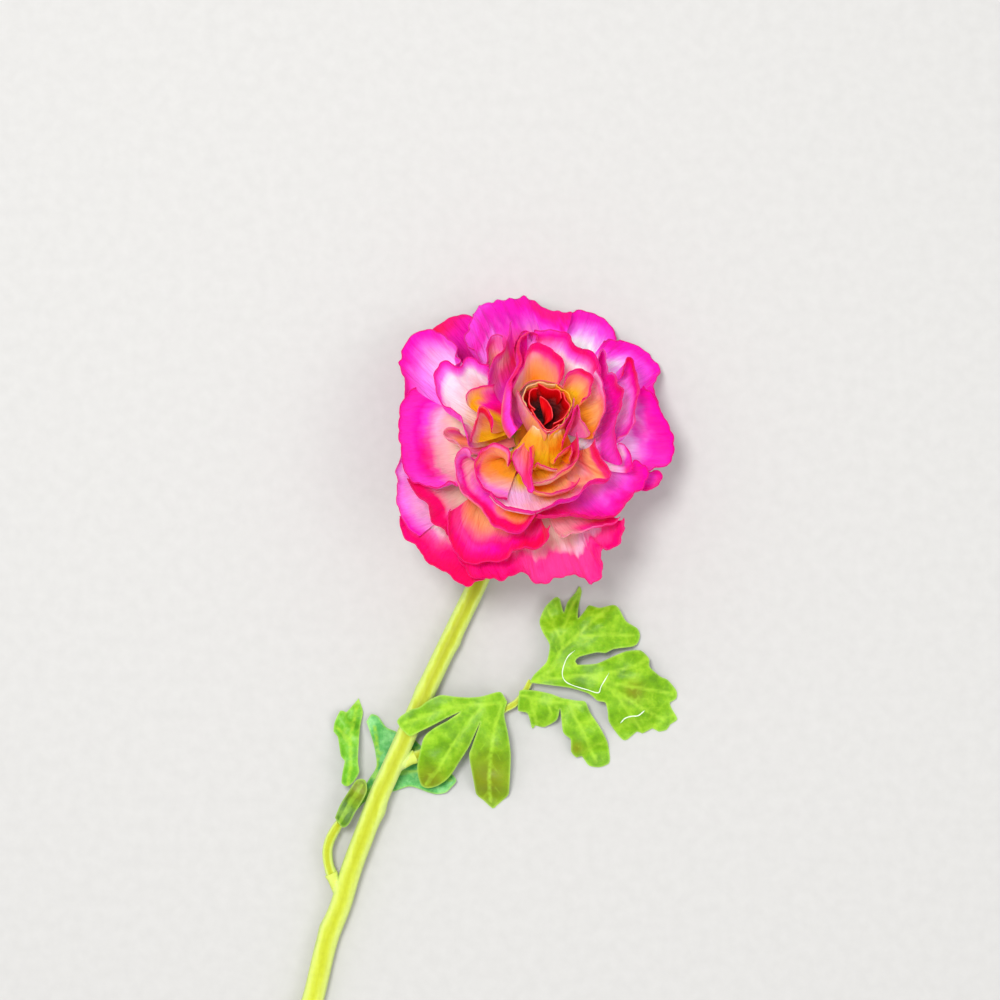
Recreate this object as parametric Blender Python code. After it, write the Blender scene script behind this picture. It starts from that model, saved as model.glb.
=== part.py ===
"""Artificial ranunculus on a wired stem, lying on a surface with its open head facing up.

Run it with  blender --background --python part.py  or from Blender's text editor.
Metres, +Z up. The origin is the centre of the bounding box, on the surface it lies on.
Lengths in the tables are millimetres in plan, measured from the middle of the flower's eye.
"""

import bpy
import bmesh
import math
import numpy as np
from mathutils import Vector
from mathutils.bvhtree import BVHTree
from mathutils.geometry import delaunay_2d_cdt

MM = 0.001

# The head: the foot of the petal hub, the tilt of its axis and the way it leans.
HUB_FOOT = np.array([-4.5, -11.5, 13.0])
HEAD_TILT = math.radians(24)
HEAD_LEAN = math.radians(68.6)
HUB_RADIUS = 6.6
HUB_TOP_RADIUS = 3.0
HUB_HEIGHT = 19.0
HUB_PEG = 1.9

# The dome that the petal rims follow: its level at the axis, its fall and where the fall is full.
DOME_TOP = 26.5
DOME_FALL = 16.0
DOME_RADIUS = 41.0

# Sheet thicknesses and the clearance that touching pieces keep.
PETAL_THICKNESS = 0.4
LEAF_THICKNESS = 0.6
SEAT_GAP = 0.32
PETAL_CLEARANCE = 0.9
CLAW_HALF_WIDTH = 1.3
CLAW_PITCH = 1.7
CLAW_STEP = 0.75
CLAW_TURNS = (0, -8, 8, -16, 16, -24, 24)

# Petal grids: points across the rim and from claw to rim.
ACROSS = 12
UPWARD = 6

# The stem, its bend under the head, and its wire.
STEM_RADIUS = 2.85
STEM_BEND = 11.0
BORE_RADIUS = 1.3
WIRE_RADIUS = 0.95
WIRE_PROUD = 1.5
STEM_SIDES = 14
STALK_SIDES = 8

# The stem and leaves lie lower than the eye, so their plan is drawn a little small.
LOW_SCALE = 1.033
LOW_CENTRE = np.array([-13.4, -26.6])

LEAN = np.array([math.cos(HEAD_LEAN), math.sin(HEAD_LEAN)])
AXIS = np.array([*(LEAN * math.sin(HEAD_TILT)), math.cos(HEAD_TILT)])
FORE = np.array([*(LEAN * math.cos(HEAD_TILT)), -math.sin(HEAD_TILT)])
BESIDE = np.array([-LEAN[1], LEAN[0], 0.0])

# Each petal, from the eye outwards: rim is its edge in plan; lift raises the rim above the dome at
# its start, middle and end; lean is how far the petal's belly stands out past its rim.
PETALS = {
    "eye_fold": dict(lift=(-3, -2.2, -3), lean=0.3, aim=200, rise=(0, 0.5), rim=[
        (-2.4, 2.2), (-0.8, 1.2), (0.4, -0.4), (1.0, -2.2), (1.3, -3.6)]),
    "eye_left": dict(lift=(-1.6, -0.6, -1), lean=0.4, rim=[
        (-3.6, -1.3), (-4.8, 0.5), (-4.9, 2.6), (-4.4, 4.3), (-2.8, 5.3)]),
    "eye_back": dict(lift=(-1, -0.8, -1), lean=0.3, rim=[
        (-3.2, 4.9), (-1.2, 4.5), (0.5, 4.0), (3.2, 4.0), (4.3, 2.2)]),
    "eye_right": dict(lift=(-1, -0.6, -1), lean=0.4, rim=[
        (3.8, 3.6), (4.8, 1.4), (6.2, -0.7), (5.4, -2.4), (3.2, -4.4), (1.8, -5.2)]),
    "eye_front": dict(lift=(-1.2, -0.8, -1.2), lean=0.6, rim=[
        (3.0, -4.9), (0.6, -6.7), (-1.2, -5.4), (-2.8, -3.0), (-4.2, -0.8)]),
    "collar_back": dict(lift=(-1.2, -0.8, -1.2), lean=0.6, rim=[
        (4.4, 4.8), (2.5, 5.9), (-0.5, 6.6), (-4.0, 6.8), (-6.8, 5.6), (-8.6, 3.8)]),
    "collar_left": dict(lift=(-1.2, -0.4, -0.6), lean=1.8, rim=[
        (-7.0, 3.4), (-6.4, 0.8), (-5.0, -1.6), (-2.6, -4.9), (-1.2, -6.9), (0.0, -8.0)]),
    "collar_right": dict(lift=(-0.6, -0.4, -1.2), lean=1.8, rim=[
        (0.6, -7.6), (2.6, -5.9), (4.6, -4.3), (6.4, -2.6), (7.2, -0.6), (7.4, 1.8)]),
    "petal_back_inner": dict(lift=(-2.5, 2, 1), lean=-0.5, rim=[
        (3.6, 6.4), (4.3, 10.0), (4.0, 12.0), (2.5, 14.5), (0.0, 16.3), (-2.5, 17.0),
        (-4.5, 16.3), (-6.0, 14.5), (-6.8, 12.0), (-8.2, 8.6), (-9.6, 5.8)]),
    "petal_right_inner": dict(lift=(0, 1.5, 0), lean=-0.5, rim=[
        (10.2, 1.6), (11.5, 3.0), (11.8, 5.4), (12.2, 8.0), (11.0, 9.6), (9.0, 10.3),
        (7.2, 9.9), (6.0, 8.6), (5.4, 7.2)]),
    "petal_strand": dict(lift=(0.5, 2.4, 0.5), lean=-1, rise=(0.5, 0.55), rim=[
        (-9.0, -12.4), (-9.6, -15.2), (-8.4, -18.4), (-6.6, -23.0), (-4.4, -26.0),
        (-3.9, -24.4), (-4.6, -20.0), (-4.8, -16.0), (-5.2, -12.0)]),
    "petal_tip_inner": dict(lift=(-1.5, 1.5, -1), lean=1.8, rim=[
        (4.2, -10.2), (4.6, -7.5), (6.2, -3.4), (8.1, 0.4), (9.1, -2.4), (10.6, -5.2), (11.6, -7.0)]),
    "petal_leafy_inner": dict(lift=(-4, -2, -3), lean=0.8, rim=[
        (2.2, -15.4), (2.8, -13.4), (4.4, -11.8), (6.3, -10.7), (6.7, -12.6), (6.2, -15.2)]),
    "petal_curl_inner": dict(lift=(-4, -3.5, -4), lean=0.4, rim=[
        (-4.4, -17.0), (-3.2, -15.9), (-1.0, -16.5), (1.0, -17.1), (2.7, -17.6)]),
    "petal_cradle_inner": dict(lift=(-1, -1.5, -1.5), lean=1.2, rim=[
        (-4.6, -20.5), (-2.0, -20.5), (0.4, -20.2), (2.4, -19.3), (5.0, -18.0), (7.0, -16.4),
        (8.0, -14.0), (8.4, -11.0), (8.4, -7.4)]),
    "petal_front_inner": dict(lift=(-0.5, -0.5, -1), lean=1, rim=[
        (-5.0, -22.2), (-1.0, -23.8), (4.0, -23.7), (7.4, -22.2), (8.4, -20.0)]),
    "petal_hood": dict(lift=(1, 4, 0), lean=4, rim=[
        (-5.4, 21.2), (-7.6, 18.6), (-7.7, 15.5), (-7.2, 12.0), (-8.2, 8.0), (-9.2, 5.0),
        (-10.0, 0.5), (-9.7, -3.6), (-8.2, -6.6)]),
    "petal_right_amber": dict(lift=(0, 0.5, -1), lean=0.5, rim=[
        (14.2, -7.8), (14.4, -5.0), (15.2, -2.3), (16.3, 0.2), (16.2, 2.6), (14.6, 7.0), (13.6, 10.0)]),
    "petal_left_red": dict(lift=(-0.5, 1, 0), lean=0.5, rim=[
        (-15.2, -6.2), (-16.2, -3.2), (-18.0, -0.9), (-19.2, -1.6), (-20.3, -5.0), (-21.3, -9.3)]),
    "petal_left_amber": dict(lift=(-2, -2, -2), lean=0.2, rim=[
        (-17.0, 6.2), (-19.0, 5.3), (-21.5, 3.8), (-22.5, 1.5)]),
    "petal_pocket": dict(lift=(1.5, 1.5, -0.5), lean=0.5, rim=[
        (-10.4, -14.6), (-11.2, -12.2), (-13.4, -11.0), (-16.0, -10.7), (-18.8, -12.4),
        (-20.2, -16.0), (-20.8, -21.0), (-20.0, -24.6), (-17.6, -27.4), (-14.0, -28.8)]),
    "petal_boat": dict(lift=(1.5, 1.5, -0.5), lean=1.5, rim=[
        (-14.3, -21.5), (-12.0, -25.0), (-8.0, -28.3), (-3.0, -29.8), (2.0, -28.5), (5.0, -26.5),
        (8.5, -25.3), (10.5, -23.0), (13.0, -20.6), (16.4, -20.2), (17.4, -18.4), (15.0, -15.0),
        (12.8, -12.0), (12.6, -9.0)]),
    "petal_back_red": dict(lift=(-1, -1, -1), lean=0, rim=[
        (-2.9, 18.8), (-3.6, 20.9), (-5.0, 22.0), (-7.0, 21.5), (-8.6, 19.2), (-9.5, 16.4)]),
    "petal_back_pink": dict(lift=(-1, 0, -1), lean=-0.5, rim=[
        (15.0, 8.6), (14.3, 11.0), (13.5, 13.0), (12.0, 15.0), (10.0, 16.0), (8.0, 16.6),
        (6.5, 18.5), (5.0, 19.8), (1.0, 20.5), (-1.0, 20.0), (-3.0, 19.2)]),
    "petal_right_ribbon": dict(lift=(-1, 1, 0), lean=1.5, rim=[
        (21.3, -15.2), (19.5, -12.0), (19.0, -8.0), (19.5, -3.0), (20.3, 1.0), (21.2, 4.6),
        (19.4, 6.2), (18.2, 8.4), (16.4, 9.0), (16.5, 13.2), (15.3, 15.6), (14.5, 13.0)]),
    "petal_back_left_fold": dict(lift=(-2, 0.5, 0), lean=0.5, rim=[
        (-10.5, 23.6), (-10.4, 20.0), (-11.5, 16.7), (-13.0, 15.0), (-14.8, 13.3), (-15.4, 11.0),
        (-15.4, 8.0)]),
    "petal_back_left_slip": dict(lift=(-1, -0.5, -1), lean=0, rim=[
        (-12.6, 19.8), (-14.5, 19.5), (-16.0, 18.0), (-16.6, 15.0), (-17.4, 12.0)]),
    "petal_cup": dict(lift=(1, 1.5, 1), lean=1, rim=[
        (-21.0, -13.3), (-22.8, -12.4), (-24.8, -13.8), (-25.5, -17.5), (-25.2, -21.0),
        (-23.0, -24.5), (-20.0, -27.5), (-17.0, -30.8), (-15.0, -34.0), (-12.0, -36.0),
        (-9.0, -37.3), (-6.2, -36.8), (-4.6, -35.2), (-3.6, -32.0)]),
    "petal_right_tall": dict(lift=(0, 1.5, 0), lean=1, rim=[
        (19.6, -9.4), (21.6, -8.0), (23.5, -5.0), (24.5, -1.0), (24.9, 4.0), (24.7, 10.2),
        (22.6, 13.2), (21.4, 9.4)]),
    "petal_right_small": dict(lift=(-1, -0.5, -1), lean=0.5, rim=[
        (25.4, -15.0), (25.0, -13.2), (24.0, -11.6), (22.0, -10.8), (19.6, -10.2)]),
    "petal_heart": dict(lift=(1, 0, 1), lean=-0.5, rim=[
        (-15.8, 11.6), (-18.0, 11.2), (-21.0, 12.9), (-22.6, 13.1), (-24.2, 11.2), (-25.6, 10.8),
        (-27.5, 12.0), (-29.4, 11.6), (-31.6, 9.0), (-32.0, 7.0), (-31.0, 4.5), (-29.5, 0.8),
        (-27.5, -1.0), (-25.0, -2.2), (-23.3, -4.2), (-22.0, -9.8)]),
    "petal_left_curl": dict(lift=(-2, -0.5, -4), lean=-1, rim=[
        (-24.8, -6.4), (-26.4, -6.5), (-28.4, -6.9), (-28.6, -8.2), (-26.4, -9.2), (-24.8, -11.0),
        (-23.5, -12.3)]),
    "petal_front_right": dict(lift=(1, 0.5, 0), lean=0.5, rim=[
        (-3.0, -30.6), (5.0, -30.2), (13.0, -31.0), (19.0, -31.4), (21.5, -29.0), (25.0, -26.4),
        (27.4, -25.6), (28.6, -23.5), (29.0, -22.0), (28.2, -20.0), (26.6, -18.4), (24.4, -17.4)]),
    "petal_front_cream": dict(lift=(-0.5, -0.5, -0.5), lean=0.5, rim=[
        (3.8, -36.5), (4.8, -36.6), (6.4, -35.4), (10.0, -34.6), (14.0, -33.7), (18.8, -32.4),
        (20.4, -31.0)]),
    "petal_front_left": dict(lift=(1, 1, 0.5), lean=0.5, rim=[
        (-27.5, -29.0), (-27.5, -36.0), (-26.5, -40.0), (-24.0, -43.0), (-20.5, -44.3),
        (-16.0, -43.4), (-12.5, -43.1), (-9.5, -40.7), (-6.0, -39.5), (-3.6, -39.7), (-0.8, -38.6),
        (0.4, -36.5), (0.2, -33.6)]),
    "petal_left_big": dict(lift=(0, 0, 1), lean=-0.5, rim=[
        (-38.6, 5.2), (-41.0, 2.5), (-42.6, -1.0), (-43.1, -6.0), (-42.7, -10.0), (-42.6, -14.4),
        (-41.2, -17.2), (-38.5, -21.0), (-35.0, -22.0), (-32.0, -22.5), (-29.5, -21.9),
        (-27.5, -21.2), (-25.7, -21.8)]),
    "petal_left_crimson": dict(lift=(0, 0.5, 0), lean=-0.5, rim=[
        (-39.5, -20.5), (-36.4, -24.6), (-34.5, -26.5), (-33.3, -28.5), (-32.3, -32.0),
        (-30.2, -33.2), (-28.2, -34.8), (-27.4, -36.4)]),
    "outer_back": dict(lift=(-5, -7, -5), lean=-1, rim=[
        (5.5, 26.3), (0.0, 27.2), (-2.2, 27.8), (-4.0, 29.0), (-6.4, 30.3), (-10.5, 30.1),
        (-15.0, 28.9), (-19.2, 28.6), (-19.6, 27.4), (-21.2, 25.2), (-22.6, 20.0), (-22.2, 17.5),
        (-20.8, 15.6)]),
    "petal_left_upper": dict(lift=(-1, -2, -1), lean=-0.5, rim=[
        (-25.6, 10.8), (-24.6, 12.2), (-26.1, 13.8), (-25.9, 16.2), (-27.2, 18.0), (-29.2, 19.5),
        (-31.5, 20.5), (-34.5, 20.7), (-37.0, 20.1), (-39.0, 18.8), (-40.6, 15.0), (-40.6, 12.6),
        (-41.8, 11.2), (-39.8, 7.6), (-38.9, 5.0), (-39.2, 1.8)]),
    "outer_right": dict(lift=(-2.5, -1, -2.5), lean=-0.5, rim=[
        (27.0, -19.0), (29.4, -17.4), (31.0, -16.9), (33.4, -16.5), (34.8, -15.0), (35.4, -12.0), (35.1, -9.5),
        (33.5, -3.5), (31.6, 0.4), (30.2, 2.6), (27.6, 5.4)]),
    "outer_right_small": dict(lift=(-2.5, -2.5, -4), lean=0, rim=[
        (28.4, -23.8), (30.4, -22.2), (31.6, -20.2), (31.0, -18.9), (29.6, -18.4)]),
    "outer_right_upper": dict(lift=(-2, -4.5, -3), lean=-1, rim=[
        (30.4, -0.6), (29.0, 3.6), (28.7, 5.8), (30.2, 7.2), (31.5, 10.0), (29.5, 13.5), (25.5, 16.7),
        (21.8, 17.8), (19.4, 18.0), (16.0, 18.6)]),
    "outer_back_right": dict(lift=(-4, -6, -5), lean=-1, rim=[
        (22.4, 14.8), (19.6, 18.0), (18.8, 19.4), (18.5, 21.0), (17.2, 23.0), (15.0, 24.7), (12.0, 25.8),
        (9.0, 26.9), (7.3, 26.6), (5.6, 25.9), (2.4, 24.4)]),
    "outer_front": dict(lift=(0, 0.5, 0), lean=0.5, rim=[
        (-24.5, -42.0), (-21.8, -45.4), (-20.3, -48.3), (-17.0, -48.7), (-13.0, -48.5), (-9.5, -47.7),
        (-6.5, -47.3), (-3.5, -49.1), (-1.0, -49.6), (2.0, -49.0), (4.8, -47.9), (7.5, -46.4),
        (9.7, -47.9), (12.5, -50.3), (14.8, -46.8), (15.1, -42.6), (15.6, -39.4), (17.5, -39.6),
        (20.2, -37.5), (21.4, -34.6), (20.9, -31.6)]),
    "outer_left": dict(lift=(-2, 0, -2), lean=-0.5, rim=[
        (-38.5, -12.5), (-41.2, -17.4), (-41.8, -20.0), (-42.3, -24.0), (-42.5, -28.0), (-42.2, -31.0),
        (-41.2, -33.2), (-39.4, -34.6), (-36.4, -36.6)]),
    "outer_front_left": dict(lift=(0, 0, -0.5), lean=0, rim=[
        (-40.4, -30.5), (-40.0, -34.0), (-38.8, -37.0), (-36.5, -39.4), (-34.5, -42.0), (-32.3, -44.0),
        (-29.0, -46.2), (-26.0, -48.0), (-22.4, -49.6), (-20.4, -48.6), (-17.0, -46.0)]),
    "outer_back_left": dict(lift=(-9, -6.5, -5), lean=-1, rim=[
        (-19.8, 22.8), (-21.4, 24.6), (-23.8, 25.7), (-27.0, 24.7), (-29.5, 23.2), (-33.0, 20.7),
        (-36.0, 14.4)]),
}

# The stem's centreline in plan and its height, from the cut end up to the bend.
STEM_LINE = [
    (-70.5, -178.0, 2.85), (-66.0, -167.0, 2.85), (-61.8, -150.0, 3.0), (-58.0, -140.0, 3.4),
    (-55.0, -130.0, 4.0), (-51.3, -120.0, 4.7), (-47.5, -110.0, 5.2), (-43.0, -100.0, 5.3),
    (-38.5, -90.0, 5.0), (-32.7, -77.0, 4.3), (-26.0, -63.0, 3.5), (-19.0, -48.5, 3.0),
    (-13.4, -35.0, 2.85),
]

# Short sockets moulded on the stem, from inside it to their mouth, and their radius.
SOCKETS = [
    ((-43.4, -101.0, 5.2), (-37.7, -98.45, 4.8), 1.8),
    ((-57.2, -138.0, 3.6), (-60.3, -131.6, 4.0), 1.7),
]

# The stalks: centreline points and radii.
RIGHT_STALK = [
    (-37.35, -98.3, 4.75, 1.5), (-35.5, -97.45, 4.4, 1.4), (-31.0, -95.2, 3.5, 1.2),
    (-24.0, -91.4, 2.9, 1.1), (-17.0, -87.6, 2.7, 1.05), (-11.5, -84.8, 2.8, 1.05),
    (-8.8, -83.2, 2.9, 1.0), (-6.6, -80.4, 3.1, 0.9), (-4.8, -77.0, 3.15, 0.8),
]
LEFT_STALK = [
    (-60.5, -131.2, 4.05, 1.4), (-61.5, -127.6, 4.2, 1.45), (-61.6, -124.0, 4.3, 1.45),
    (-60.7, -121.0, 4.3, 1.45), (-59.5, -118.8, 4.3, 1.4), (-58.6, -117.4, 4.2, 1.3),
]

# The leaves: outline, points that set the height of the blade, and the pitch of its inner points.
LEAVES = {
    "leaf_mid": dict(outline=[
        (-11.4, -82.9), (-13.0, -80.3), (-14.5, -80.2), (-18.5, -81.3), (-22.0, -81.6),
        (-26.0, -81.3), (-30.0, -80.9), (-33.5, -82.5), (-36.0, -84.3), (-38.0, -84.8),
        (-41.0, -86.7), (-42.0, -88.0), (-41.5, -89.3), (-39.8, -91.3), (-38.5, -92.3),
        (-36.0, -91.2), (-31.0, -88.7), (-28.0, -87.1), (-24.5, -85.6), (-28.0, -88.0),
        (-31.0, -89.6), (-33.5, -91.4), (-34.8, -93.2), (-36.0, -98.0), (-36.5, -101.0),
        (-36.2, -104.0), (-35.3, -106.5), (-33.5, -107.2), (-31.0, -106.5), (-28.5, -104.8),
        (-26.5, -102.5), (-25.0, -100.0), (-22.0, -95.2), (-18.9, -88.4), (-21.3, -95.5),
        (-22.0, -98.0), (-20.8, -105.0), (-20.0, -109.0), (-18.0, -110.8), (-15.5, -113.0),
        (-14.3, -112.2), (-11.2, -109.3), (-10.8, -107.0), (-10.4, -98.0), (-10.8, -94.0),
        (-11.3, -91.0), (-12.2, -87.0), (-12.1, -85.4)],
        heights=[(-12, -84, 4.8), (-20, -84, 7.2), (-30, -84.5, 8.6), (-38, -88, 9.0),
                 (-41, -89, 9.0), (-27, -92, 7.8), (-31, -99, 7.4), (-33, -103, 5.0),
                 (-34, -106.5, 2.6), (-16, -94, 7.0), (-16, -103, 4.5), (-16, -112, -1.2)]),
    "leaf_right_upper": dict(outline=[
        (-5.2, -77.6), (-4.0, -75.5), (-2.0, -73.5), (-0.3, -71.5), (0.4, -67.0), (-1.5, -63.5),
        (-2.4, -60.5), (-0.8, -56.5), (2.0, -53.8), (3.3, -54.2), (4.4, -58.0), (5.4, -55.3),
        (7.8, -52.5), (8.8, -50.8), (9.5, -52.2), (8.5, -57.0), (8.4, -59.6), (10.5, -57.3),
        (11.5, -56.0), (14.5, -56.7), (18.2, -55.9), (19.7, -56.7), (21.8, -60.4), (25.0, -62.5),
        (25.8, -64.5), (25.3, -66.4), (24.0, -67.5), (18.5, -68.2), (16.0, -69.3), (13.5, -69.1),
        (8.6, -70.4), (7.6, -71.6), (8.2, -72.5), (13.5, -72.2), (18.0, -70.3), (22.0, -68.8),
        (26.0, -68.7), (28.3, -71.0), (28.4, -73.2), (31.5, -76.0), (33.5, -76.9), (36.0, -80.0),
        (36.0, -82.2), (34.2, -83.4), (34.7, -85.0), (36.3, -88.0), (34.3, -89.5), (33.3, -91.0),
        (31.0, -91.5), (29.3, -90.6), (26.5, -92.0), (25.0, -91.5), (22.3, -93.7), (21.0, -93.8),
        (19.3, -92.0), (17.0, -88.5), (16.7, -86.0), (16.0, -83.2), (13.8, -82.6), (11.4, -80.6),
        (6.0, -79.0), (0.0, -78.2)],
        heights=[(-4.4, -77, 4.6), (4, -73, 5.6), (3, -64, 6.4), (1, -57, 3.2), (9, -52, -0.8),
                 (14, -63, 6.2), (22, -62, 3.6), (25.5, -65, 0.9), (14, -76, 6.4),
                 (24, -76, 6.0), (24, -84, 4.6), (35, -81, 0.4), (34, -89, -1.2), (22, -93, -0.4)]),
    "leaf_right_lower": dict(outline=[
        (-8.0, -79.8), (-6.5, -79.5), (-3.0, -79.9), (1.0, -80.8), (4.0, -81.9), (8.0, -82.6),
        (10.4, -82.9), (11.8, -86.0), (14.5, -90.0), (16.7, -94.5), (17.4, -99.0), (17.0, -100.5),
        (14.5, -101.5), (11.5, -101.0), (9.5, -98.4), (8.0, -98.7), (6.5, -97.0), (6.3, -93.5),
        (4.2, -91.4), (3.4, -85.0), (2.5, -88.0), (-1.0, -90.2), (-3.5, -89.8), (-4.4, -90.6),
        (-5.7, -86.3), (-8.3, -85.5), (-8.3, -82.5)],
        heights=[(-7.6, -81.2, 5.0), (-4, -86, 3.0), (-4.4, -90.4, 0.5), (2, -83, 4.2),
                 (8, -86, 3.8), (10, -92, 3.4), (13, -100, -1.2)]),
    "leaf_left_front": dict(outline=[
        (-53.0, -82.2), (-51.8, -86.0), (-52.5, -90.0), (-53.0, -99.0), (-52.7, -102.5),
        (-54.3, -105.3), (-56.0, -106.5), (-57.6, -105.6), (-57.2, -102.0), (-56.7, -99.3),
        (-57.8, -98.0), (-58.8, -92.8), (-60.0, -91.4), (-59.6, -88.6), (-58.0, -85.5),
        (-56.5, -86.0), (-55.0, -84.5)],
        heights=[(-55.8, -105.8, 5.4), (-54.8, -100, 6.4), (-54.6, -93, 5.2), (-59.6, -90.5, 1.6),
                 (-54, -86, 1.4), (-53, -82.6, -1.2)]),
    "leaf_left_back": dict(outline=[
        (-50.8, -88.6), (-49.5, -86.6), (-47.5, -87.2), (-45.3, -90.2), (-42.0, -91.7),
        (-38.0, -93.2), (-35.0, -96.0), (-30.5, -99.6), (-26.8, -103.3), (-25.6, -105.2),
        (-27.0, -107.0), (-28.5, -108.5), (-31.0, -109.0), (-33.5, -108.5), (-36.5, -107.3),
        (-39.0, -106.8), (-43.0, -108.2), (-47.0, -108.8), (-50.4, -110.4), (-53.6, -113.4),
        (-56.2, -116.8), (-57.6, -116.2), (-55.4, -112.2), (-52.6, -108.6),
        (-50.0, -104.6), (-48.0, -101.0), (-48.8, -95.0)],
        heights=[(-57, -116.6, 4.7), (-54.6, -113.2, 4.3), (-51.6, -109.6, 2.4), (-48, -105, 0.8), (-45, -108, 0.5), (-43, -99, 0.3),
                 (-38, -101, 0.2), (-30, -104, 0.3), (-26.5, -105.5, 1.3), (-49.5, -88, 1.6),
                 (-46, -94, 0.3)]),
    "leaf_left_fold": dict(outline=[
        (-59.4, -115.2), (-58.0, -111.6), (-56.0, -108.4), (-53.4, -104.6), (-51.0, -104.6),
        (-50.4, -107.4), (-51.6, -110.2), (-53.6, -113.4), (-55.6, -117.0), (-57.4, -117.8)],
        heights=[(-57.6, -116.4, 6.4), (-55.4, -112.4, 6.5), (-57.4, -111.6, 6.0),
                 (-52.6, -107.8, 7.4), (-51.8, -110.2, 6.8), (-50.8, -107.2, 7.0),
                 (-53.2, -105.0, 6.8)]),
}
LEAF_PITCH = 5.0

COLOURS = {
    "petal": (0.85, 0.02, 0.35),
    "eye": (0.25, 0.005, 0.01),
    "stem": (0.55, 0.62, 0.18),
    "leaf": (0.25, 0.5, 0.04),
    "core": (0.6, 0.6, 0.62),
    "core_green": (0.35, 0.45, 0.12),
}


def clear_scene():
    for thing in list(bpy.data.objects):
        bpy.data.objects.remove(thing, do_unlink=True)


def material(name):
    made = bpy.data.materials.get(name) or bpy.data.materials.new(name)
    made.use_nodes = True
    shader = made.node_tree.nodes["Principled BSDF"]
    shader.inputs["Base Color"].default_value = (*COLOURS[name], 1)
    shader.inputs["Roughness"].default_value = 0.3 if name == "core" else 0.6
    shader.inputs["Metallic"].default_value = 1.0 if name == "core" else 0.0
    return made


def add_object(name, vertices, faces, slot):
    mesh = bpy.data.meshes.new(name)
    mesh.from_pydata([tuple(point) for point in vertices], [], [tuple(face) for face in faces])
    shape = bmesh.new()
    shape.from_mesh(mesh)
    bmesh.ops.triangulate(shape, faces=[face for face in shape.faces if len(face.verts) > 3])
    bmesh.ops.recalc_face_normals(shape, faces=shape.faces)
    if shape.calc_volume(signed=True) < 0:
        bmesh.ops.reverse_faces(shape, faces=shape.faces)
    shape.to_mesh(mesh)
    shape.free()
    mesh.materials.append(material(slot))
    thing = bpy.data.objects.new(name, mesh)
    bpy.context.scene.collection.objects.link(thing)
    return thing


def combine(thing, extra, operation):
    """Unites an object with another, or cuts the other out of it; the other is used up."""
    boolean = thing.modifiers.new(operation, "BOOLEAN")
    boolean.operation = operation
    boolean.solver = "EXACT"
    boolean.object = extra
    shape = bpy.data.meshes.new_from_object(thing.evaluated_get(bpy.context.evaluated_depsgraph_get()))
    thing.modifiers.remove(boolean)
    thing.data = shape
    bpy.data.objects.remove(extra, do_unlink=True)


# ---- the head's own frame -------------------------------------------------------------------

def head_point(across, level):
    """Points from their two coordinates across the axis and their level along it."""
    across = np.asarray(across, float)
    level = np.asarray(level, float)
    return HUB_FOOT + across[..., :1] * FORE + across[..., 1:2] * BESIDE + level[..., None] * AXIS


def across_from_plan(plan, level):
    """The two coordinates across the axis of points given in plan, at a level."""
    offset = plan - HUB_FOOT[:2]
    fore = (offset @ LEAN - level * math.sin(HEAD_TILT)) / math.cos(HEAD_TILT)
    return np.stack([fore, offset @ BESIDE[:2]], axis=-1)


def dome_level(radius):
    return DOME_TOP - DOME_FALL * (radius / DOME_RADIUS) ** 2.2


def hub_radius(level):
    share = np.clip(np.asarray(level, float) / HUB_HEIGHT, 0, 1)
    return HUB_RADIUS + (HUB_TOP_RADIUS - HUB_RADIUS) * share


def rim_points(rim, count):
    """The rim as a smooth curve through its points, evenly spaced."""
    points = np.array(rim, float)
    before = 2 * points[0] - points[1]
    after = 2 * points[-1] - points[-2]
    padded = np.vstack([before, points, after])
    dense = []
    for index in range(len(points) - 1):
        a, b, c, d = padded[index:index + 4]
        for share in np.linspace(0, 1, 9)[:-1]:
            dense.append(0.5 * (2 * b + (c - a) * share + (2 * a - 5 * b + 4 * c - d) * share ** 2
                                + (3 * b - a - 3 * c + d) * share ** 3))
    dense.append(points[-1])
    dense = np.array(dense)
    length = np.concatenate([[0], np.cumsum(np.linalg.norm(np.diff(dense, axis=0), axis=1))])
    wanted = np.linspace(0, length[-1], count)
    return np.stack([np.interp(wanted, length, dense[:, axis]) for axis in (0, 1)], axis=-1)


def rim_in_head(petal, count):
    """The rim's coordinates across the axis and its levels, on the dome plus the petal's lift."""
    plan = rim_points(petal["rim"], count)
    lift = np.interp(np.linspace(0, 1, count), [0, 0.5, 1], petal["lift"])
    level = np.full(count, DOME_TOP)
    for _ in range(40):
        across = across_from_plan(plan, level)
        level = 0.5 * level + 0.5 * (dome_level(np.linalg.norm(across, axis=1)) + lift)
    return across_from_plan(plan, level), level


def claw_angle(petal):
    if "aim" in petal:
        return math.radians(petal["aim"])
    across, _ = rim_in_head(petal, 15)
    middle = across.mean(axis=0)
    return math.atan2(middle[1], middle[0])


def highest_seat(angle, seats, angles):
    seat = HUB_HEIGHT - 0.4
    for other, there in seats.items():
        apart = abs((angle - angles[other] + math.pi) % (2 * math.pi) - math.pi)
        reach = 2 * (CLAW_HALF_WIDTH + 0.25) / (hub_radius(there) + SEAT_GAP)
        if apart < reach:
            seat = min(seat, there - CLAW_PITCH)
        elif apart < 2.2 * reach:
            seat = min(seat, there - CLAW_STEP)
    return seat


def claw_seats():
    """Levels of the claws on the hub: from the top down, each clear of the ones it overlaps."""
    seats, angles = {}, {}
    for name, petal in PETALS.items():
        middle = claw_angle(petal)
        choices = [middle + math.radians(turn) for turn in CLAW_TURNS]
        heights = [round(highest_seat(angle, seats, angles), 3) for angle in choices]
        best = heights.index(max(heights))
        seats[name], angles[name] = heights[best], choices[best]
    return seats, angles


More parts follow.
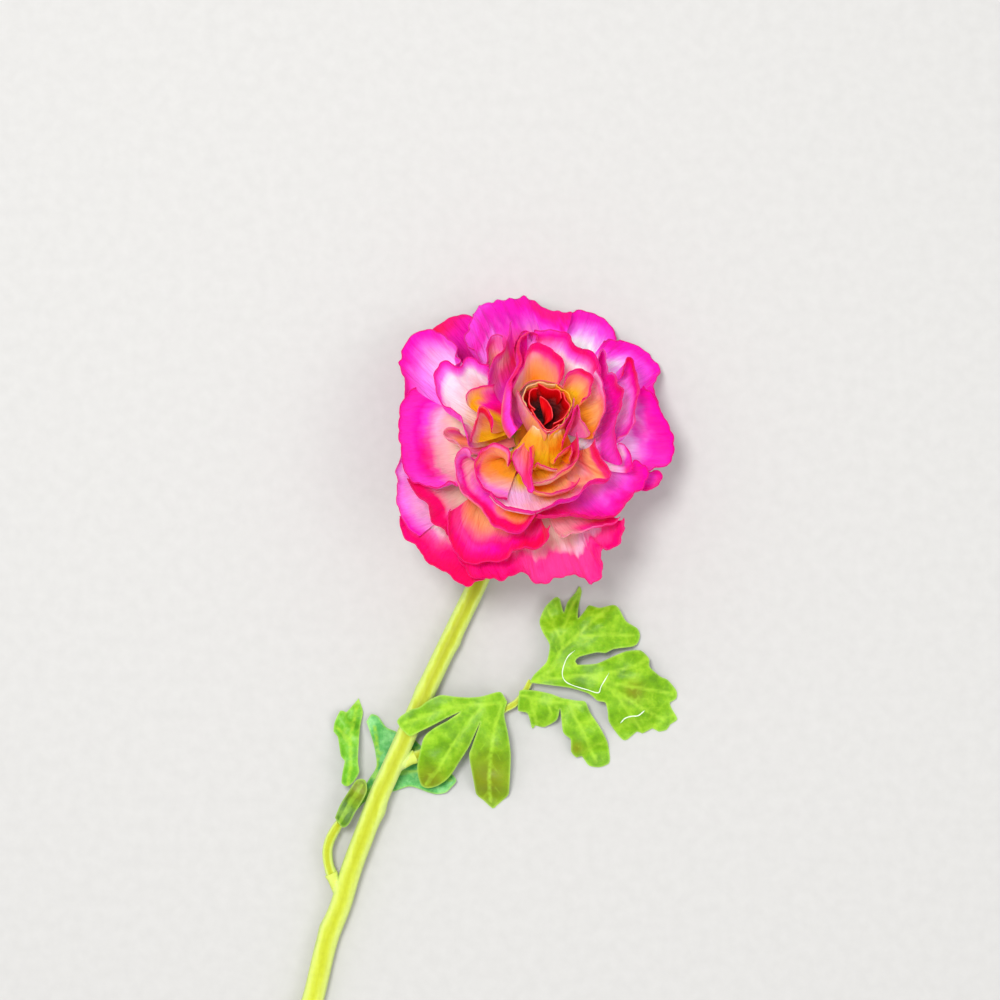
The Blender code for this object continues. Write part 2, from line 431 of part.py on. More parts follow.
def petal_grid(petal, seat, angle, columns, rows):
    """A petal's middle surface: rows of points from its claw to its rim."""
    rim, level = rim_in_head(petal, columns)
    turn = rim[0, 0] * rim[-1, 1] - rim[0, 1] * rim[-1, 0]
    if turn < 0:
        rim, level = rim[::-1], level[::-1]
    radius = hub_radius(seat) + SEAT_GAP + 0.12
    spread = np.linspace(-1, 1, columns) * CLAW_HALF_WIDTH / radius + angle
    claw = radius * np.stack([np.cos(spread), np.sin(spread)], axis=-1)
    length = np.linalg.norm(rim, axis=1, keepdims=True)
    belly = rim * (length + petal["lean"]) / length
    out, up = petal.get("rise", (0.8, 0.15))
    drop = level - seat
    corners = [
        (claw, np.full(columns, seat)),
        (claw + out * (belly - claw), seat + up * drop),
        (belly, level - 0.45 * drop),
        (rim, level),
    ]
    share = np.linspace(0, 1, rows)[:, None]
    weights = [(1 - share) ** 3, 3 * share * (1 - share) ** 2, 3 * share ** 2 * (1 - share), share ** 3]
    across = sum(w[..., None] * corner[0] for w, corner in zip(weights, corners))
    height = sum(w * corner[1] for w, corner in zip(weights, corners))
    return head_point(across, height)


# ---- settling the petals so that none passes through another --------------------------------

def grid_triangles(rows, columns):
    triangles = []
    for row in range(rows - 1):
        for column in range(columns - 1):
            a = row * columns + column
            b, c, d = a + 1, a + columns + 1, a + columns
            triangles += [(a, c, b), (a, d, c)]
    return triangles


def sample_weights(rows, columns):
    """Weights that place the grid's points and the points half way between them."""
    weights = []
    for row in np.arange(0, rows - 0.75, 0.5):
        for column in np.arange(0, columns - 0.75, 0.5):
            entry = np.zeros((rows, columns))
            low, left = int(row), int(column)
            up, right = row - low, column - left
            for step, share in ((0, 1 - up), (1, up)):
                for side, part in ((0, 1 - right), (1, right)):
                    if share * part > 0:
                        entry[low + step, left + side] += share * part
            weights.append(entry.ravel())
    return np.array(weights)


def smoothed(field, amount):
    padded = np.pad(field, ((1, 1), (1, 1), (0, 0)), mode="edge")
    around = (padded[:-2, 1:-1] + padded[2:, 1:-1] + padded[1:-1, :-2] + padded[1:-1, 2:]) / 4
    result = (1 - amount) * field + amount * around
    result[0] = 0
    return result


def push_off(points, facings, reaches, side, tree):
    """How far each point has to move to be on its own side of another petal, and clear of it."""
    pushes = np.zeros_like(points)
    for index, point in enumerate(points):
        found, normal, _, distance = tree.find_nearest(Vector(point), reaches[index])
        if found is None:
            continue
        gap = point - np.array(found)
        normal = np.array(normal)
        signed = float(gap @ normal) * side
        facing = float(facings[index] @ normal)
        if facing < (0.1 if distance < PETAL_CLEARANCE else 0.55) or abs(signed) < 0.6 * distance:
            if 1e-6 < distance < PETAL_CLEARANCE:
                pushes[index] = gap / distance * (PETAL_CLEARANCE - distance)
        elif signed < PETAL_CLEARANCE:
            pushes[index] = normal * side * (PETAL_CLEARANCE - signed)
    return pushes


def off_the_hub(grid):
    """The shift that keeps a petal's points outside the hub, its claw included."""
    offset = grid - HUB_FOOT
    across = np.stack([offset @ FORE, offset @ BESIDE], axis=-1)
    level = offset @ AXIS
    radius = np.maximum(np.linalg.norm(across, axis=-1), 1e-6)
    wanted = hub_radius(level) + SEAT_GAP + PETAL_THICKNESS / 2
    short = np.where(level < HUB_HEIGHT + 0.4, np.maximum(wanted - radius, 0), 0)
    short[0] = 0
    away = across / radius[..., None]
    return short[..., None] * (away[..., :1] * FORE + away[..., 1:] * BESIDE)


def settle_round(grids, weights, triangles, reach, smoothing, offsets, starts):
    flats = [grid.reshape(-1, 3) for grid in grids]
    trees = [BVHTree.FromPolygons([tuple(p) for p in flat], triangles) for flat in flats]
    lows = [flat.min(axis=0) - reach for flat in flats]
    highs = [flat.max(axis=0) + reach for flat in flats]
    faults = []
    for order, grid in enumerate(grids):
        samples = weights @ flats[order]
        facings = weights @ grid_normals(grid).reshape(-1, 3)
        outward = (samples - HUB_FOOT) @ np.stack([FORE, BESIDE], axis=1)
        reaches = np.clip(0.2 * np.linalg.norm(outward, axis=1), PETAL_CLEARANCE, reach)
        total = np.zeros_like(samples)
        count = np.zeros(len(samples))
        for other in range(len(grids)):
            if other == order or (lows[other] > highs[order] - reach).any():
                continue
            near = ((samples > lows[other]) & (samples < highs[other])).all(axis=1)
            if not near.any():
                continue
            side = 1 if order < other else -1
            pushes = push_off(samples[near], facings[near], reaches[near], side, trees[other])
            moved = np.linalg.norm(pushes, axis=1)
            faults.append((moved.max(), order, other))
            total[near] += pushes
            count[near] += moved > 0
        total /= np.maximum(count, 1)[:, None]
        share = weights.T @ (count > 0)
        move = (weights.T @ total) / np.maximum(share, 1e-9)[:, None] * (share > 0)[:, None]
        offsets[order] += 0.55 * move.reshape(grid.shape)
        offsets[order] = smoothed(offsets[order], smoothing)
    for order, start in enumerate(starts):
        offsets[order] += off_the_hub(start + offsets[order])
        grids[order] = start + offsets[order]
        low = grids[order][..., 2] < PETAL_THICKNESS / 2
        offsets[order][..., 2] += np.where(low, PETAL_THICKNESS / 2 - grids[order][..., 2], 0)
        grids[order] = start + offsets[order]
    return sorted(faults, reverse=True)


def settled_petals():
    seats, angles = claw_seats()
    starts = [petal_grid(petal, seats[name], angles[name], ACROSS, UPWARD)
              for name, petal in PETALS.items()]
    offsets = [np.zeros_like(start) for start in starts]
    grids = list(starts)
    triangles = grid_triangles(UPWARD, ACROSS)
    corners = np.eye(UPWARD * ACROSS)
    halves = sample_weights(UPWARD, ACROSS)
    for _ in range(30):
        settle_round(grids, corners, triangles, 5.0, 0.3, offsets, starts)
    for number in range(60):
        settle_round(grids, halves, triangles, 3.0, 0.15 if number < 45 else 0.0, offsets, starts)
    return dict(zip(PETALS, grids))


# ---- solids ---------------------------------------------------------------------------------

def grid_normals(grid):
    across = np.gradient(grid, axis=1)
    upward = np.gradient(grid, axis=0)
    normals = np.cross(upward, across)
    return normals / np.linalg.norm(normals, axis=2, keepdims=True)


def sheet_solid(name, grid, slot):
    """A petal of even thickness about its middle surface, its underside kept off the floor."""
    rows, columns = grid.shape[:2]
    normals = grid_normals(grid) * PETAL_THICKNESS / 2
    inner = (grid + normals).reshape(-1, 3)
    outer = (grid - normals).reshape(-1, 3)
    vertices = np.vstack([inner, outer])
    vertices[:, 2] = np.maximum(vertices[:, 2], 0)
    triangles = grid_triangles(rows, columns)
    size = rows * columns
    faces = list(triangles)
    faces += [(a + size, c + size, b + size) for a, b, c in triangles]
    border = [column for column in range(columns)]
    border += [row * columns + columns - 1 for row in range(1, rows)]
    border += [(rows - 1) * columns + column for column in range(columns - 2, -1, -1)]
    border += [row * columns for row in range(rows - 2, 0, -1)]
    for here, there in zip(border, border[1:] + border[:1]):
        faces += [(there, here, here + size), (there, here + size, there + size)]
    return add_object(name, vertices * MM, faces, slot)


def swept(points, radii, sides):
    """Vertices and faces of a round bar along points."""
    points = [Vector(point) for point in points]
    tangents = []
    for index in range(len(points)):
        ahead = points[min(index + 1, len(points) - 1)] - points[max(index - 1, 0)]
        tangents.append(ahead.normalized())
    aside = Vector((0, 0, 1)).cross(tangents[0]).normalized()
    rings = []
    for point, tangent in zip(points, tangents):
        aside = (aside - tangent * aside.dot(tangent)).normalized()
        rings.append((point, aside, tangent.cross(aside)))
    vertices, faces = [], []

    def add_ring(frame, radius):
        centre, right, up = frame
        for number in range(sides):
            angle = 2 * math.pi * number / sides
            vertices.append(centre + (math.cos(angle) * right + math.sin(angle) * up) * float(radius))

    def join_rings(one, two):
        for number in range(sides):
            following = (number + 1) % sides
            faces.append((one * sides + number, one * sides + following,
                          two * sides + following, two * sides + number))

    for frame, radius in zip(rings, radii):
        add_ring(frame, radius)
    count = len(rings)
    for ring in range(count - 1):
        join_rings(ring, ring + 1)
    faces.append(tuple(range((count - 1) * sides, count * sides)))
    faces.append(tuple(reversed(range(sides))))
    return np.array(vertices), faces


def lowered(point):
    plan = LOW_CENTRE + (np.array(point[:2]) - LOW_CENTRE) * LOW_SCALE
    return np.array([plan[0], plan[1], point[2]])


def smooth_line(points, step):
    """A smooth curve through points that carry any number of values, one row about every step."""
    points = np.array(points, float)
    padded = np.vstack([2 * points[0] - points[1], points, 2 * points[-1] - points[-2]])
    rows = []
    for index in range(len(points) - 1):
        a, b, c, d = padded[index:index + 4]
        pieces = max(1, round(float(np.linalg.norm(c[:3] - b[:3])) / step))
        for share in np.arange(pieces) / pieces:
            rows.append(0.5 * (2 * b + (c - a) * share + (2 * a - 5 * b + 4 * c - d) * share ** 2
                               + (3 * b - a - 3 * c + d) * share ** 3))
    rows.append(points[-1])
    return np.array(rows)


def stem_centreline():
    """The stem from its cut end, along the surface, round the bend and up to the peg."""
    top = HUB_FOOT - AXIS * (HUB_PEG + SEAT_GAP)
    rise = math.pi / 2 - HEAD_TILT
    bend_drop = STEM_BEND * (1 - math.cos(rise))
    straight = (top[2] - STEM_RADIUS - bend_drop) / AXIS[2]
    bend_top = top - AXIS * straight
    level = np.array([*LEAN, 0.0])
    bend_foot = bend_top - level * STEM_BEND * math.sin(rise)
    bend_foot[2] = STEM_RADIUS
    line = [lowered(point) for point in STEM_LINE]
    rows = list(smooth_line(line + [bend_foot], 9.0))
    for angle in np.linspace(0, rise, 7)[1:]:
        rows.append(bend_foot + STEM_BEND * (math.sin(angle) * level
                                             + (1 - math.cos(angle)) * np.array([0, 0, 1.0])))
    rows.append(top)
    return np.array(rows)


def ahead_of(line, distance):
    """A line with a point added this far before its first one."""
    back = line[0] - line[1]
    return np.vstack([line[0] + back / np.linalg.norm(back) * distance, line])


def stem_pieces():
    line = stem_centreline()
    radii = np.interp(np.arange(len(line)), [0, len(line) * 0.5, len(line)],
                      [STEM_RADIUS + 0.25, STEM_RADIUS, STEM_RADIUS - 0.25])
    line[:, 2] = np.maximum(line[:, 2], radii)
    vertices, faces = swept(line, radii, STEM_SIDES)
    vertices[:, 2] = np.maximum(vertices[:, 2], 0)
    stem = add_object("main_stem", vertices * MM, faces, "stem")
    for number, (inside, mouth, radius) in enumerate(SOCKETS):
        ends = np.array([lowered(inside), lowered(mouth)])
        points, sides = swept(ends, [radius] * 2, STALK_SIDES + 2)
        combine(stem, add_object(f"socket_{number}", points * MM, sides, "stem"), "UNION")
    core = line[:len(line) - 9]
    points, sides = swept(ahead_of(core, 2.0), [BORE_RADIUS] * (len(core) + 1), STALK_SIDES)
    combine(stem, add_object("bore", points * MM, sides, "stem"), "DIFFERENCE")
    wire = ahead_of(core[:-1], WIRE_PROUD)
    points, sides = swept(wire, [WIRE_RADIUS] * len(wire), STALK_SIDES)
    add_object("stem_wire", points * MM, sides, "core")


def stalk(name, rows):
    rows = [(*lowered(row[:3]), row[3]) for row in rows]
    line = smooth_line(rows, 4.0)
    vertices, faces = swept(line[:, :3], line[:, 3], STALK_SIDES)
    vertices[:, 2] = np.maximum(vertices[:, 2], 0)
    add_object(name, vertices * MM, faces, "stem")


def turned(name, profile, sides, slot, closed=False):
    """A solid of revolution about the head's axis, from its radii and levels."""
    vertices, faces = [], []
    for radius, level in profile:
        for number in range(sides):
            angle = 2 * math.pi * number / sides
            vertices.append(head_point([radius * math.cos(angle), radius * math.sin(angle)], level))
    count = len(profile)
    pairs = [(ring, ring + 1) for ring in range(count - 1)]
    if closed:
        pairs.append((count - 1, 0))
    for one, two in pairs:
        for number in range(sides):
            following = (number + 1) % sides
            faces.append((one * sides + number, one * sides + following,
                          two * sides + following, two * sides + number))
    if not closed:
        faces.append(tuple(reversed(range(sides))))
        faces.append(tuple(range((count - 1) * sides, count * sides)))
    add_object(name, np.array(vertices) * MM, faces, slot)


def hub_and_calyx():
    turned("petal_hub", [
        (3.0, -HUB_PEG), (3.0, -0.2), (HUB_RADIUS - 0.4, 0.0), (HUB_RADIUS, 0.6),
        (HUB_TOP_RADIUS, HUB_HEIGHT - 0.5), (HUB_TOP_RADIUS - 0.6, HUB_HEIGHT)], 16, "core_green")
    inner = 3.0 + SEAT_GAP
    steps = 40
    vertices, faces = [], []
    for number in range(steps):
        angle = 2 * math.pi * number / steps
        lobe = 0.5 + 0.5 * math.cos(5 * angle)
        reach = 6.0 + 5.0 * lobe ** 1.5
        droop = 0.5 + 1.6 * lobe
        for radius, level in ((inner, -0.55), (0.6 * reach, -0.65), (reach, -0.55 - droop),
                              (reach, -1.15 - droop), (0.6 * reach, -1.75), (inner, -1.75)):
            vertices.append(head_point([radius * math.cos(angle), radius * math.sin(angle)], level))
    for number in range(steps):
        following = (number + 1) % steps
        for corner in range(6):
            after = (corner + 1) % 6
            faces.append((number * 6 + corner, following * 6 + corner,
                          following * 6 + after, number * 6 + after))
    add_object("calyx", np.array(vertices) * MM, faces, "leaf")


def blade_height(points, heights):
    """Heights of a leaf's points, drawn smoothly through the heights that are given."""
    known = np.array(heights, float)
    known = np.array([lowered(row) for row in known])
    gaps = np.linalg.norm(points[:, None, :] - known[None, :, :2], axis=2)
    weights = 1 / (gaps ** 2.5 + 0.5)
    return (weights * known[:, 2]).sum(axis=1) / weights.sum(axis=1)


def leaf_solid(name, leaf):
    outline = np.array([lowered((*point, 0))[:2] for point in leaf["outline"]])
    inside = []
    low, high = outline.min(axis=0), outline.max(axis=0)
    for x in np.arange(low[0] + 2, high[0], LEAF_PITCH):
        for y in np.arange(low[1] + 2, high[1], LEAF_PITCH):
            if within(outline, x, y) and edge_distance(outline, x, y) > 0.4 * LEAF_PITCH:
                inside.append((x, y))
    points = np.vstack([outline] + ([np.array(inside)] if inside else []))
    count = len(outline)
    loop = [(index, (index + 1) % count) for index in range(count)]
    placed, _, faces, _, _, _ = delaunay_2d_cdt([Vector(p) for p in points], loop, [], 1, 1e-6)
    placed = np.array([tuple(point) for point in placed])
    middle = blade_height(placed, leaf["heights"])
    middle = np.maximum(middle, LEAF_THICKNESS / 2)
    half = LEAF_THICKNESS / 2
    top = np.column_stack([placed, middle + half])
    bottom = np.column_stack([placed, middle - half])
    size = len(placed)
    triangles = []
    for face in faces:
        a, b, c = face
        area = np.cross(placed[b] - placed[a], placed[c] - placed[a])
        triangles.append((a, b, c) if area > 0 else (a, c, b))
    edges = {}
    for a, b, c in triangles:
        for edge in ((a, b), (b, c), (c, a)):
            edges[edge] = True
    solid = list(triangles) + [(a + size, c + size, b + size) for a, b, c in triangles]
    for a, b in edges:
        if (b, a) not in edges:
            solid += [(b, a, a + size), (b, a + size, b + size)]
    add_object(name, np.vstack([top, bottom]) * MM, solid, "leaf")


def within(outline, x, y):
    crossings = 0
    for (ax, ay), (bx, by) in zip(outline, np.roll(outline, -1, axis=0)):
        if (ay > y) != (by > y) and x < ax + (y - ay) / (by - ay) * (bx - ax):
            crossings += 1
    return crossings % 2 == 1


def edge_distance(outline, x, y):
    point = np.array([x, y])
    best = 1e9
    for start, end in zip(outline, np.roll(outline, -1, axis=0)):
        along = end - start
        share = np.clip((point - start) @ along / (along @ along), 0, 1)
        best = min(best, float(np.linalg.norm(point - start - share * along)))
    return best


def centre_on_origin():
    """Moves everything so that the origin is under the middle of the bounding box."""
    corners = np.array([vertex.co for thing in bpy.data.objects for vertex in thing.data.vertices])
    low, high = corners.min(axis=0), corners.max(axis=0)
    shift = np.array([(low[0] + high[0]) / 2, (low[1] + high[1]) / 2, 0.0])
    print("lowest", low[2], "shift", shift)
    for thing in bpy.data.objects:
        for vertex in thing.data.vertices:
            vertex.co = Vector(np.array(vertex.co) - shift)


def main():
    clear_scene()
    for name, grid in settled_petals().items():
        sheet_solid(name, grid, "eye" if name.startswith("eye") else "petal")
    hub_and_calyx()
    stem_pieces()
    stalk("right_stalk", RIGHT_STALK)
    stalk("left_stalk", LEFT_STALK)
    for name, leaf in LEAVES.items():
        leaf_solid(name, leaf)
    centre_on_origin()


main()
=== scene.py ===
import bpy
import bmesh
import math
import numpy as np
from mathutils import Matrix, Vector
from mathutils.bvhtree import BVHTree
from mathutils.geometry import delaunay_2d_cdt


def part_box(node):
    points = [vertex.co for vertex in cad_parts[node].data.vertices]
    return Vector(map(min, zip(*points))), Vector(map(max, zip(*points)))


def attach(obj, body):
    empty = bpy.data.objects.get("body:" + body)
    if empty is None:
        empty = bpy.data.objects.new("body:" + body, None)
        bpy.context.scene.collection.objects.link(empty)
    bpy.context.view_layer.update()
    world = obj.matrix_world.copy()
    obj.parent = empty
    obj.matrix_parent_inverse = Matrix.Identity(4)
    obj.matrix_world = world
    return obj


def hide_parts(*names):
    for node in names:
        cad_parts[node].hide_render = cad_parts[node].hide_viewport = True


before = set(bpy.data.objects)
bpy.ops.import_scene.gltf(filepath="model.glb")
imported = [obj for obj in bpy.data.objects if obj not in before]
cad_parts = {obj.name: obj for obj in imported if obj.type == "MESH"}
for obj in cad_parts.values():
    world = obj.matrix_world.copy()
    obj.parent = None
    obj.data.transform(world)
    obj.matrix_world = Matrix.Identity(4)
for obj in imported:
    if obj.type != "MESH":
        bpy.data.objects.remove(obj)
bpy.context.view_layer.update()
print("frame loaded:", len(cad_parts), "nodes")

mm = 0.001

# the head: foot of the petal hub (mm, drawn from the middle of the eye), its tilt and its lean
head = dict(foot=np.array([-4.5, -11.5, 13.0]), tilt=math.radians(24), lean=math.radians(68.6),
            hubRadius=6.6, hubTop=3.0, hubHeight=19.0, peg=1.9,
            domeTop=26.5, domeFall=16.0, domeRadius=41.0)
# how the petals sit on the hub and keep off each other in the frame
seating = dict(thickness=0.4, gap=0.32, clearance=0.9, clawHalf=1.3, pitch=1.7, step=0.75,
               turns=(0, -8, 8, -16, 16, -24, 24), across=12, upward=6, facing=(0.1, 0.55), slant=0.6)
# stages of the petals making room: rounds, points that count, reach in mm and smoothing
settling = dict(pace=0.55, stages=[(30, "corners", 5.0, 0.3), (45, "halves", 3.0, 0.15),
                                   (15, "halves", 3.0, 0.0)])

leanWay = np.array([math.cos(head["lean"]), math.sin(head["lean"])])
axis = np.array([*(leanWay * math.sin(head["tilt"])), math.cos(head["tilt"])])
fore = np.array([*(leanWay * math.cos(head["tilt"])), -math.sin(head["tilt"])])
beside = np.array([-leanWay[1], leanWay[0], 0.0])


def headPoint(across, level):  # from coordinates across the head's axis and a level along it
    across, level = np.asarray(across, float), np.asarray(level, float)
    return head["foot"] + across[..., :1] * fore + across[..., 1:2] * beside + level[..., None] * axis


def turned(angles):  # points of a circle of radius 1
    return np.stack([np.cos(angles), np.sin(angles)], axis=-1)


def turnsRound(sides):
    return 2 * math.pi * np.arange(sides) / sides


def hubProfile():
    return [(3.0, -head["peg"]), (3.0, -0.2), (head["hubRadius"] - 0.4, 0.0), (head["hubRadius"], 0.6),
            (head["hubTop"], head["hubHeight"] - 0.5), (head["hubTop"] - 0.6, head["hubHeight"])]


def turnedPoints(profile, sides):  # rings round the head's axis
    around = turned(turnsRound(sides))
    return np.array([headPoint(radius * around, np.full(sides, level)) for radius, level in profile])


# the frame's own place of the hub says where the drawing's zero lies in the frame
hubLow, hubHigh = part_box("petal_hub")
drawnHub = turnedPoints(hubProfile(), 16).reshape(-1, 3)
middle = (drawnHub.min(axis=0) + drawnHub.max(axis=0)) / 2
shift = (np.array(hubLow) + np.array(hubHigh)) / 2 / mm - middle
print("drawing lies at", np.round(shift, 3), "mm in the frame")


def tint(red, green, blue):  # screen colour to the linear values that the shaders want
    return tuple((value / 255) ** 2.2 for value in (red, green, blue)) + (1.0,)


# the camera looks straight down at this point of the drawing, and lens and distances are in mm and m
view = dict(middle=np.array([-13.4, -26.6]), lens=135.0, eyeHeight=36.0, distance=1.05, fill=0.85, floor=1.6)
lights = {
    "key": dict(at=(-0.20, 0.20, 1.00), size=0.32, power=7.6),
    "side": dict(at=(0.45, -0.25, 0.70), size=0.4, power=1.0),
}
aim = (shift + np.array([*view["middle"], 0])) * mm

# cloth of the petals, in mm: notches are shares of a petal's notch with their wavelengths, and ruffles are
# shares of its ruffle with their wavelengths and the depths at which they fade
cloth = dict(thickness=0.26, rows=29, columns=(33, 97), columnStep=0.55, notch=0.45,
             notches=[(0.35, 3.1), (0.15, 1.2)], ruffle=0.55, ruffles=[(1, 10.5, 6.0), (0.45, 4.4, 2.4),
             (0.16, 1.9, 1.1)], pleats=(3.4, 14), roll=0.25, rollDepth=1.6, gapReach=3.0, gapLeft=0.08,
             floorGap=0.16, lowest=0.02, sharp=60)
# how dye lies in the cloth: the depth in mm that its ramps span, how fast it grows from the side edges and
# how deep it is at the claw, where the thirds of a rim meet, how far it bleeds, the stretch of the noises
# across and down the cloth, how far apart the petals lie in them, and the line along the rim
dyeing = dict(span=24.0, sides=1.2, claw=24, soften=0.8, thirds=(0.16, 0.5), blend=0.34, bleed=3.0,
              streak=(0.62, 0.11, 1.0), cloud=(0.16, 0.16, 1.0), fibre=(3.2, 0.35, 1.0), apart=7.3,
              line=0.85, lineDepth=(0.1, 0.46))
# where each kind's random numbers start
seeds = dict(petals=40, eye=7, leaves=900)

# the dyes, as screen colours
rimLine, magenta, hotPink, crimson = (198, 0, 96), (243, 5, 168), (243, 0, 122), (233, 0, 90)
red, scarlet, rose, pink = (240, 0, 50), (246, 44, 50), (246, 58, 142), (250, 118, 188)
violetPink, orchid, lilac, white = (246, 64, 205), (249, 122, 228), (252, 184, 243), (255, 238, 250)
fuchsia, deepPink, cerise = (242, 40, 176), (238, 8, 152), (236, 8, 112)
plum, wine = (224, 12, 162), (208, 10, 136)
mallow, paleMallow, shellPink = (236, 90, 200), (236, 150, 212), (244, 180, 216)
pale, blush, greyPink, greyCream = (255, 230, 234), (252, 176, 182), (230, 152, 162), (222, 184, 172)
cream, peach, coral, salmon = (243, 204, 182), (252, 176, 118), (252, 128, 126), (250, 146, 96)
orange, deepOrange, amber = (246, 158, 44), (240, 134, 16), (236, 180, 24)

# how far in from the rim, in mm, each colour of a dye bath stands; in the eye the red is the cloth's dye, and
# its fall to near black further in is painted shade
eyeDyeAndShade = [(0, (236, 66, 70)), (0.25, (226, 12, 30)), (2.6, (206, 0, 14)), (4.6, (120, 0, 4)),
           (7, (34, 0, 0))]
eyeLook = dict(dye=eyeDyeAndShade, ruffle=0.3, notch=0.8)

